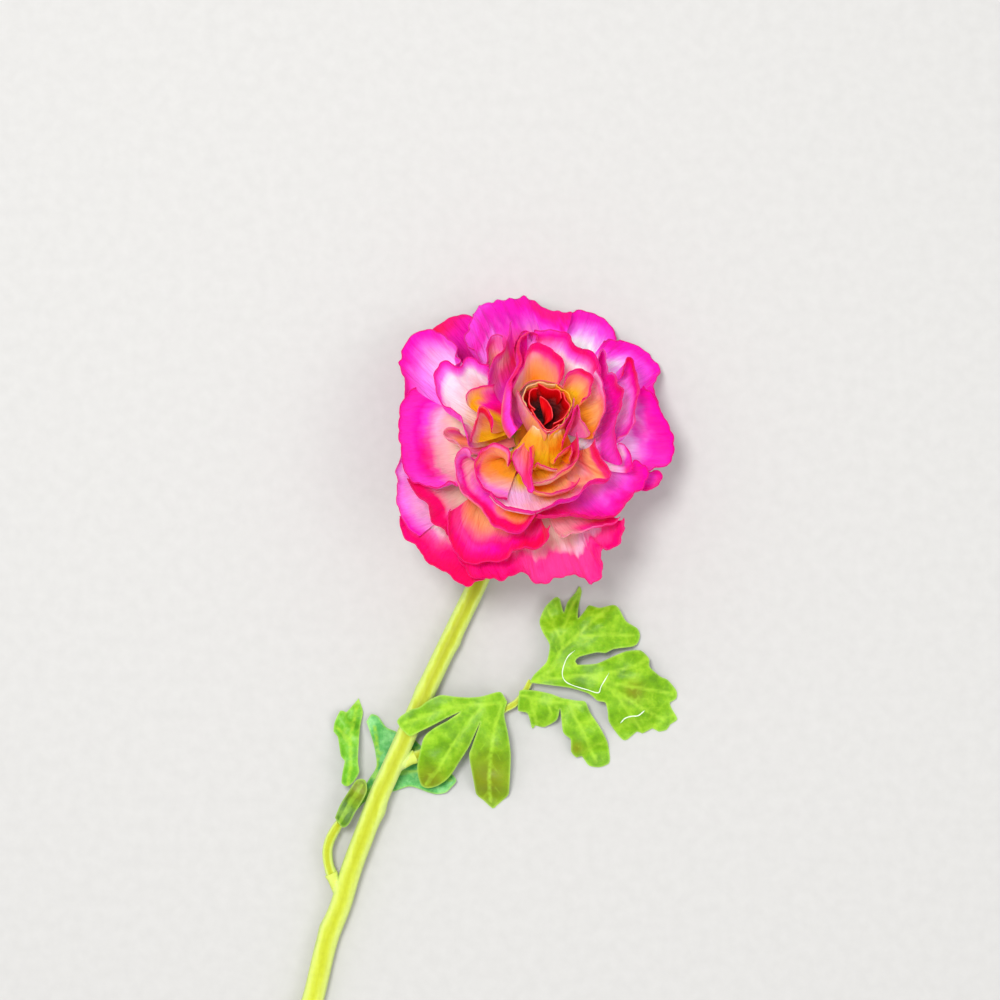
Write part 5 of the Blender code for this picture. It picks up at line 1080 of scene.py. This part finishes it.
# the side stalks: centreline points with their heights and radii
stalks = {
    "right_stalk": [(-37.35, -98.3, 4.75, 1.5), (-35.5, -97.45, 4.4, 1.4), (-31, -95.2, 3.5, 1.2),
                   (-24, -91.4, 2.9, 1.1), (-17, -87.6, 2.7, 1.05), (-11.5, -84.8, 2.8, 1.05),
                   (-8.8, -83.2, 2.9, 1), (-6.6, -80.4, 3.1, 0.9), (-4.8, -77, 3.15, 0.8)],
    "left_stalk": [(-60.5, -131.2, 4.05, 1.4), (-61.5, -127.6, 4.2, 1.45), (-61.6, -124, 4.3, 1.45),
                  (-60.7, -121, 4.3, 1.45), (-59.5, -118.8, 4.3, 1.4), (-58.6, -117.4, 4.2, 1.3),
                  (-58.05, -116.55, 4.8, 1.2)],
}
# strands of dried glue on the right leaf, in mm of the drawing
glue = {
    "glue_loop": dict(radius=0.16, line=[(7.5, -68.5), (5.5, -70.3), (4.3, -73), (4, -75.5), (5, -77.3),
                                         (7.5, -78.5), (11, -79.5), (14, -80.3), (14.8, -78.5), (17, -74.8)]),
    "glue_smear": dict(radius=0.2, line=[(20.3, -89), (21.6, -87.6), (23.4, -87), (25.2, -86.8),
                                         (27, -85.4)]),
}


def lowered(rows):  # points of the drawing for what lies low
    rows = np.array(rows, float)
    rows[..., :2] = view["middle"] + (rows[..., :2] - view["middle"]) * lowScale
    return rows


def lineGap(points, line):  # distance of points from a line of straight pieces
    best = np.full(len(points), 1e9)
    for start, end in zip(line[:-1], line[1:]):
        along = end - start
        share = np.clip((points - start) @ along / max(along @ along, 1e-9), 0, 1)
        best = np.minimum(best, np.linalg.norm(points - start - share[:, None] * along, axis=1))
    return best


def insideOutline(outline, points):
    crossings = np.zeros(len(points), int)
    for (ax, ay), (bx, by) in zip(outline, np.roll(outline, -1, axis=0)):
        straddles = (ay > points[:, 1]) != (by > points[:, 1])
        where = ax + (points[:, 1] - ay) / (by - ay if by != ay else 1e-9) * (bx - ax)
        crossings += straddles & (points[:, 0] < where)
    return crossings % 2 == 1


def bladeHeights(points, heights):
    known = lowered(heights)
    gaps = np.linalg.norm(points[:, None, :] - known[None, :, :2], axis=2)
    weights = 1 / (gaps ** 2.5 + 0.5)
    return (weights * known[:, 2]).sum(axis=1) / weights.sum(axis=1)


def sideVeins(vein):  # short veins that branch forwards from a main one
    branches, run, made = leafCloth["branches"], runAlong(vein), []
    for number, at in enumerate(np.arange(branches["first"], run[-1] - branches["last"], branches["apart"])):
        start, after = (np.array([np.interp(spot, run, vein[:, side]) for side in (0, 1)])
                        for spot in (at, at + 1))
        ahead = (after - start) / np.linalg.norm(after - start)
        turn = branches["turn"] * (1 if number % 2 else -1)
        way = np.array([ahead[0] * math.cos(turn) - ahead[1] * math.sin(turn),
                        ahead[0] * math.sin(turn) + ahead[1] * math.cos(turn)])
        made.append(np.array([start, start + way * 2.6 + ahead * 0.3, start + way * 4.6 + ahead * 1.2]))
    return made


def leafPlan(loop, closed, chance):  # points and triangles that fill a leaf's outline
    low, high, pitch = loop.min(axis=0), loop.max(axis=0), leafCloth["pitch"]
    inner = np.array([(x + (pitch / 2 if row % 2 else 0), y)
                      for row, y in enumerate(np.arange(low[1], high[1], pitch * 0.87))
                      for x in np.arange(low[0], high[0], pitch)])
    inner += chance.uniform(-leafCloth["stray"], leafCloth["stray"], inner.shape)
    inner = inner[insideOutline(loop, inner)]
    inner = inner[lineGap(inner, closed) > 0.5 * pitch]
    edges = [(index, (index + 1) % len(loop)) for index in range(len(loop))]
    filled = delaunay_2d_cdt([Vector(point) for point in np.vstack([loop, inner])], edges, [], 1, 1e-6)
    plan = np.array([tuple(point) for point in filled[0]])
    return plan, [(a, c, b) if np.cross(plan[b] - plan[a], plan[c] - plan[a]) < 0 else (a, b, c)
                  for a, b, c in filled[2]]


def leafMesh(name, leaf, number):
    outline = lowered(leaf["outline"])
    loop = smoothRun(np.vstack([outline, outline[:1]]), leafCloth["edgeStep"], leafCloth["tension"])[:-1]
    closed = np.vstack([loop, loop[:1]])
    plan, triangles = leafPlan(loop, closed, np.random.default_rng(seeds["leaves"] + number))
    mains = [lowered(vein) for vein in leaf["veins"]]
    smalls = [small for vein in mains for small in sideVeins(vein)] or mains
    mainGap, smallGap = (np.min([lineGap(plan, vein) for vein in veins], axis=0) for veins in (mains, smalls))
    edgeGap = lineGap(plan, closed)
    swell = np.sin(plan[:, 0] * 0.55 + number) * np.cos(plan[:, 1] * 0.48 + 2 * number)
    height = bladeHeights(plan, leaf["heights"])
    puckers = 1 - np.exp(-(mainGap / 1.5) ** 2) + 0.4 * (1 - np.exp(-(smallGap / 0.8) ** 2))
    height += leafCloth["pucker"] * puckers
    height -= leafCloth["curl"] * np.exp(-edgeGap / 1.3)
    height += leafCloth["wave"] * swell * np.exp(-edgeGap / 5)
    half = leafCloth["thickness"] / 2
    height = np.maximum(height, half + 0.02)
    size = len(plan)
    points = np.vstack([np.column_stack([plan, height + half]), np.column_stack([plan, height - half])])
    directed = {edge for a, b, c in triangles for edge in ((a, b), (b, c), (c, a))}
    solid = triangles + [(a + size, c + size, b + size) for a, b, c in triangles]
    solid += [(b, a, a + size, b + size) for a, b in sorted(directed) if (b, a) not in directed]
    mesh = drawnMesh(name, points, solid)
    patch = np.zeros(size)
    for x, y, radius in leaf.get("olive", []):
        patch = np.maximum(patch, np.exp(-(np.linalg.norm(plan - lowered((x, y)), axis=1) / radius) ** 2))
    storeValue(mesh, "veinGap", np.tile(np.minimum(mainGap, smallGap + 0.42), 2))
    storeValue(mesh, "edgeGap", np.tile(edgeGap, 2))
    storeValue(mesh, "olive", np.tile(patch, 2))
    storeValue(mesh, "underside", np.repeat([0.0, 1.0], size))
    smoothShade(mesh, 50)
    return mesh


def leafFinish(name, tones):
    finish, tree = newFinish(name, Roughness=0.45, Specular_IOR_Level=0.25, Subsurface_Weight=0.2,
                             Subsurface_Scale=0.0015, Subsurface_Radius=(0.5, 1.0, 0.2))
    deep, fresh, pale, under = tones
    spot = addNode(tree, "TexCoord").outputs["Object"]
    mottle = noise(tree, spot, 190.0, 6.0, Roughness=0.62)
    veins = ranged(tree, stored(tree, "veinGap"), (0.12, 0.75), (0.75, 0.0))
    # painted highlight: a pale band painted along the edge of the leaf
    edge = ranged(tree, stored(tree, "edgeGap"), (0.05, 0.6), (0.45, 0.0))
    colour = ramped(tree, mottle, [(0.33, deep), (0.5, fresh), (0.68, pale)])
    for share, tone in ((stored(tree, "olive"), leafCloth["aged"]), (veins, leafCloth["vein"]),
                        (edge, leafCloth["edge"]), (stored(tree, "underside"), under)):
        colour = mixed(tree, share, colour, tint(*tone))
    cells = addNode(tree, "TexVoronoi", {"Vector": spot, "Scale": 1100.0}, feature="DISTANCE_TO_EDGE")
    cellBump = raised(tree, cells.outputs["Distance"], 0.25, 0.0002)
    return closeFinish(finish, colour, raised(tree, mottle, 0.3, 0.0008, cellBump))


def makeLeaves():
    for number, (name, leaf) in enumerate(leaves.items()):
        mesh = leafMesh(name + "_blade", leaf, number)
        place(name + "_blade", mesh, leafFinish(name + "_green", leaf["tones"]), "leaf_plastic", name)
    print("leaves made:", len(leaves))


def stemCentreline():  # from the cut end along the floor, round the bend and up to the peg
    top = head["foot"] - axis * (head["peg"] + seating["gap"])
    rise = math.pi / 2 - head["tilt"]
    drop = stem["bend"] * (1 - math.cos(rise))
    bendTop = top - axis * (top[2] - stem["radius"] - drop) / axis[2]
    level, up = np.array([*leanWay, 0.0]), np.array([0, 0, 1.0])
    bendFoot = bendTop - level * stem["bend"] * math.sin(rise)
    bendFoot[2] = stem["radius"]
    bend = [bendFoot + stem["bend"] * (math.sin(angle) * level + (1 - math.cos(angle)) * up)
            for angle in np.linspace(0, rise, 15)[1:]]
    return np.vstack([smoothRun(np.vstack([lowered(stem["line"]), bendFoot]), 1.6), bend, top])


def ringFrames(points):  # for each point of a line: its sideways direction and its upward one
    ahead = np.gradient(points, axis=0)
    ahead /= np.linalg.norm(ahead, axis=1, keepdims=True)
    sideways = np.cross(ahead, [0, 0, 1.0])
    sideways /= np.linalg.norm(sideways, axis=1, keepdims=True)
    return sideways, np.cross(sideways, ahead)


def tube(points, radii, sides):  # rings round a line
    sideways, upward = (way[:, None] for way in ringFrames(points))
    cosine, sine = np.cos(turnsRound(sides))[:, None], np.sin(turnsRound(sides))[:, None]
    return points[:, None] + np.reshape(radii, (len(points), -1, 1)) * (cosine * sideways + sine * upward)


def ringMesh(name, rings, capped=True):  # a skin over rings, capped or else welded where its ends meet
    count, sides = rings.shape[:2]
    faces = [(ring * sides + side, ring * sides + (side + 1) % sides,
              (ring + 1) * sides + (side + 1) % sides, (ring + 1) * sides + side)
             for ring in range(count - 1) for side in range(sides)]
    if capped:
        faces += [tuple(reversed(range(sides))), tuple(range((count - 1) * sides, count * sides))]
    points = rings.reshape(-1, 3).copy()
    points[:, 2] = np.maximum(points[:, 2], 0.01)
    mesh = drawnMesh(name, points, faces)
    shape = bmesh.new()
    shape.from_mesh(mesh)
    if not capped:
        bmesh.ops.remove_doubles(shape, verts=shape.verts, dist=1e-7)
    bmesh.ops.recalc_face_normals(shape, faces=shape.faces)
    shape.to_mesh(mesh)
    shape.free()
    return mesh


def uniteMeshes(mesh, extras):
    base = bpy.data.objects.new(mesh.name + "_base", mesh)
    bpy.context.scene.collection.objects.link(base)
    for extra in extras:
        other = bpy.data.objects.new("extra", extra)
        bpy.context.scene.collection.objects.link(other)
        join = base.modifiers.new("join", "BOOLEAN")
        join.operation, join.solver, join.object = "UNION", "EXACT", other
        joined = bpy.data.meshes.new_from_object(base.evaluated_get(bpy.context.evaluated_depsgraph_get()))
        base.modifiers.remove(join)
        base.data = joined
        bpy.data.objects.remove(other)
    bpy.data.objects.remove(base)
    return joined


def drawnPoints(mesh):  # where the points of a mesh lie in the drawing
    return np.array([vertex.co for vertex in mesh.vertices]) / mm - shift


def finishCane(name, mesh, line, radii, upStem, finishName, node):
    points = drawnPoints(mesh)
    nearest = np.array([np.argmin(((line - point) ** 2).sum(axis=1)) for point in points])
    away = points - line[nearest]
    offset = (away * ringFrames(line)[0][nearest]).sum(axis=1) / radii[nearest]
    far = np.linalg.norm(away, axis=1) > 1.25 * radii[nearest]
    # painted highlight: how far out to the side each point lies, which the finish paints paler
    storeValue(mesh, "sideHighlight", np.where(far, 0.6, np.clip(np.abs(offset), 0, 1.2)))
    storeValue(mesh, "upStem", upStem[nearest])
    smoothShade(mesh, 40)
    place(name, mesh, caneFinish(finishName), "stem_plastic", node)


def makeStem():
    line = stemCentreline()
    radius, taper = stem["radius"], stem["taper"]
    radii = np.interp(np.arange(len(line)), [0, len(line) * 0.5, len(line)],
                      [radius + taper, radius, radius - taper])
    line[:, 2] = np.maximum(line[:, 2], radii)
    run, turns, sideways = runAlong(line), turnsRound(stem["sides"]), ringFrames(line)[0]
    wobble = stem["ridge"] * sum(share * np.cos(number * turns + start + run[:, None] * twist)
                                 for share, number, start, twist in stem["ridges"])
    fade = np.clip(run[-1] - run, 0, 12)[:, None] / 12
    thick = radii[:, None] * (1 + wobble * fade)
    for x, y, length, size in stem["knuckles"]:
        spot = lowered((x, y))
        nearest = np.argmin(np.linalg.norm(line[:, :2] - spot, axis=1))
        side = np.sign((spot - line[nearest, :2]) @ sideways[nearest, :2])
        bump = np.exp(-((run - run[nearest]) / (length / 2)) ** 2)
        thick += size * bump[:, None] * np.clip(side * np.cos(turns), 0, 1) ** 3
    bored = line[:int(np.searchsorted(run, stem["boreDepth"])) + 1]
    bore = tube(bored, np.full(len(bored), stem["bore"]), stem["sides"])[::-1]
    cutEdge = tube(line[:2], thick[:2] - stem["bevel"], stem["sides"])[:1]
    mesh = ringMesh("main_stem_cane", np.concatenate([bore, cutEdge, tube(line, thick, stem["sides"])]))
    extras = []
    for inside, mouth, width in sockets:
        start, end = lowered([inside, mouth])
        end += stem["overlap"] * (end - start) / np.linalg.norm(end - start)  # closes over the stalk
        way = smoothRun([start, end], 0.7)
        share = np.linspace(0, 1, len(way))
        flare = width * (1 + 0.35 * (1 - share) ** 2 + 0.12 * (share > 0.86))
        extras.append(ringMesh("socket", tube(way, flare, 28)))
    joined = uniteMeshes(mesh, extras)
    joined.name = "main_stem_cane"
    finishCane("main_stem_cane", joined, line, radii, run / run[-1], "stem_green", "main_stem")
    back = (line[0] - line[1]) / np.linalg.norm(line[0] - line[1])
    wire = np.vstack([line[0] + back * stem["wireProud"], line[0] + back * (stem["wireProud"] - 0.2), bored])
    wireRadii = np.full(len(wire), stem["wire"])
    wireRadii[0] -= 0.15
    wireMesh = ringMesh("stem_wire_rod", tube(wire, wireRadii, 20))
    smoothShade(wireMesh, 40)
    steel = speckledFinish("wire_steel_drawn", 1500.0, 4.0, [(0.3, (150, 150, 152)), (0.7, (188, 188, 190))],
                           (0.1, 0.0001), Metallic=1.0, Roughness=0.35)
    place("stem_wire_rod", wireMesh, steel, "wire_steel", "stem_wire")
    print("stem made")


def makeStalks():
    for name, rows in stalks.items():
        smooth = smoothRun(lowered(rows), 0.9)
        line, radii = smooth[:, :3], smooth[:, 3]
        run, turns = runAlong(line)[:, None], turnsRound(22)
        thick = radii[:, None] * (1 + 0.05 * np.cos(3 * turns + run / 9) + 0.03 * np.cos(7 * turns))
        thick += 0.22 * np.exp(-((run - 1.0) / 0.8) ** 2)  # a bead where it leaves its stub
        mesh = ringMesh(name + "_cane", tube(line, thick, 22))
        finishCane(name + "_cane", mesh, line, radii, np.full(len(line), 0.5), name + "_green", name)
    print("stalks made")


def caneFinish(name):
    finish, tree = newFinish(name, Roughness=0.5, Specular_IOR_Level=0.25, Subsurface_Weight=0.25,
                             Subsurface_Scale=0.002, Subsurface_Radius=(0.9, 1.0, 0.3))
    spot = addNode(tree, "TexCoord").outputs["Object"]
    drawn = addNode(tree, "Mapping", {"Vector": spot, "Rotation": (0, 0, math.radians(-24)),
                                      "Scale": (420.0, 45.0, 420.0)})
    streaks = noise(tree, drawn.outputs[0])
    # painted highlight: the sides of the stem and stalks are painted paler than their middle
    sideHighlight = worked(tree, "ADD", stored(tree, "sideHighlight"), ranged(tree, streaks, (0.2, 0.8), (-0.22, 0.22)))
    low, high = (ramped(tree, sideHighlight, stops) for stops in caneTonesWithHighlight)
    tone = mixed(tree, stored(tree, "upStem"), low, high)
    shade = ranged(tree, noise(tree, spot, 700.0), (0.3, 0.7), (0.95, 1.04))
    return closeFinish(finish, scaled(tree, tone, shade), raised(tree, streaks, 0.3, 0.0005))


# the calyx under the head: five pointed sepals that droop from a ring
calyx = dict(sepals=5, inner=3.32, reach=6.0, point=5.0, droop=1.6, thickness=0.55, steps=120, rings=14)


def sepalLobes(turns):
    return 0.5 + 0.5 * np.cos(calyx["sepals"] * turns)


def sepalReach(turns):
    return calyx["reach"] + calyx["point"] * sepalLobes(turns) ** 1.5


def makeCalyx():
    turns, share = turnsRound(calyx["steps"]), np.linspace(0, 1, calyx["rings"])[:, None]
    radius = calyx["inner"] + (sepalReach(turns) - calyx["inner"]) * share
    rib = 0.16 * np.cos(calyx["sepals"] * 3 * turns) * np.sin(math.pi * share)
    level = -0.95 - (0.5 + calyx["droop"] * sepalLobes(turns)) * share ** 1.6 + rib
    around = radius[..., None] * turned(turns)
    half = calyx["thickness"] / 2 * (1.1 - 0.5 * share)
    top, bottom = headPoint(around, level + half), headPoint(around, level - half)
    mesh = ringMesh("calyx_sepals", np.concatenate([top, bottom[::-1], top[:1]]), False)
    points = drawnPoints(mesh) - head["foot"]
    outward, turn = np.hypot(points @ fore, points @ beside), np.arctan2(points @ beside, points @ fore)
    storeValue(mesh, "veinGap", np.abs(np.sin(calyx["sepals"] * turn / 2)) * outward * 0.35)
    storeValue(mesh, "edgeGap", np.maximum(sepalReach(turn) - outward, 0))
    storeValue(mesh, "olive", np.zeros(len(points)))
    storeValue(mesh, "underside", np.zeros(len(points)))
    smoothShade(mesh, 60)
    place("calyx_sepals", mesh, leafFinish("calyx_green", coolTones), "leaf_plastic", "calyx")


# tones of the hub from its foot up to its top; the dark brown at the top, at the bottom of the eye, is
# painted shade
hubTonesAndShade = [(0.0, (96, 138, 20)), (0.2, (116, 148, 20)), (0.4, (190, 170, 30)), (0.7, (214, 150, 24)),
            (0.95, (150, 40, 8)), (1.0, (50, 6, 0))]


def makeHub():
    profile = smoothRun(hubProfile(), 0.8, 0.2)
    mesh = ringMesh("petal_hub_core", turnedPoints(profile, 48))
    storeValue(mesh, "height", np.repeat(profile[:, 1], 48) / head["hubHeight"])
    smoothShade(mesh, 40)
    finish, tree = newFinish("hub_amber", Roughness=0.55, Specular_IOR_Level=0.3)
    cloudy = noise(tree, None, 260.0, 4.0)
    uneven = worked(tree, "MULTIPLY_ADD", cloudy, 0.2, stored(tree, "height"))
    closeFinish(finish, ramped(tree, uneven, hubTonesAndShade), raised(tree, cloudy, 0.3, 0.0005))
    place("petal_hub_core", mesh, finish, "hub_plastic", "petal_hub")
    print("hub and calyx made")


def makeGlue():  # dried strands of glue that lie on the right leaf
    blade = bpy.data.objects["leaf_right_upper_blade"]
    surface = BVHTree.FromObject(blade, bpy.context.evaluated_depsgraph_get())
    finish = speckledFinish("dried_glue", 900.0, 2.0, [(0.3, (206, 230, 190)), (0.7, (234, 244, 226))],
                            Roughness=0.25, Specular_IOR_Level=0.5)
    for name, strand in glue.items():
        line = smoothRun([(*point, 0) for point in lowered(strand["line"])], 0.5)
        line[:, 2] = bladeHeights(line[:, :2], leaves["leaf_right_upper"]["heights"]) + leafCloth["thickness"]
        for row, point in enumerate((line + shift) * mm):
            hit = surface.ray_cast(Vector((point[0], point[1], 0.05)), Vector((0, 0, -1)))[0]
            if hit:
                line[row, 2] = hit.z / mm - shift[2]
        level = np.pad(line[:, 2], 2, mode="edge")
        line[:, 2] = np.convolve(level, np.ones(5) / 5, "valid") + 0.6 * strand["radius"]
        share = np.linspace(0, 1, len(line))
        ends = np.clip(np.minimum(share, 1 - share) * 14, 0.3, 1)
        radii = strand["radius"] * (0.75 + 0.35 * np.sin(share * 19) ** 2) * ends
        mesh = ringMesh(name, tube(line, radii, 10))
        smoothShade(mesh, 60)
        place(name, mesh, finish)
    print("glue strands made")


def makeStage():
    floor = bpy.data.meshes.new("floor")
    floor.from_pydata([(aim[0] + x * view["floor"], aim[1] + y * view["floor"], 0)
                       for x, y in ((-1, -1), (1, -1), (1, 1), (-1, 1))], [], [(0, 1, 2, 3)])
    plate = bpy.data.objects.new("floor", floor)
    bpy.context.scene.collection.objects.link(plate)
    paper = speckledFinish("floor_paper", 900.0, 4.0, [(0.3, (189, 188, 186)), (0.7, (193, 192, 190))],
                           Roughness=0.9, Specular_IOR_Level=0.1)
    floor.materials.append(paper)


def makeLight(name, at, size, power):
    lamp = bpy.data.lights.new(name, "AREA")
    lamp.shape, lamp.size, lamp.energy = "DISK", size, power
    holder = bpy.data.objects.new(name, lamp)
    holder.location = (aim[0] + at[0], aim[1] + at[1], at[2])
    way = Vector((aim[0], aim[1], 0.02)) - holder.location
    holder.rotation_euler = way.to_track_quat("-Z", "Y").to_euler()
    bpy.context.scene.collection.objects.link(holder)


def makeView():
    lens = bpy.data.cameras.new("camera")
    lens.lens, lens.sensor_width = view["lens"], 36
    lens.clip_start, lens.clip_end = 0.05, 10
    camera = bpy.data.objects.new("camera", lens)
    camera.location = (aim[0], aim[1], view["eyeHeight"] * mm + view["distance"])
    bpy.context.scene.collection.objects.link(camera)
    bpy.context.scene.camera = camera
    for name, light in lights.items():
        makeLight(name, light["at"], light["size"], light["power"])
    world = bpy.data.worlds.new("studio")
    world.use_nodes = True
    world.node_tree.nodes["Background"].inputs["Color"].default_value = (1, 1, 1, 1)
    world.node_tree.nodes["Background"].inputs["Strength"].default_value = view["fill"]
    bpy.context.scene.world = world
    bpy.context.scene.view_settings.view_transform = "Standard"
    print("camera and lights placed")


makePetals()
makeEyeBowl()
makeHub()
makeCalyx()
makeLeaves()
makeStem()
makeStalks()
makeGlue()
makeStage()
makeView()
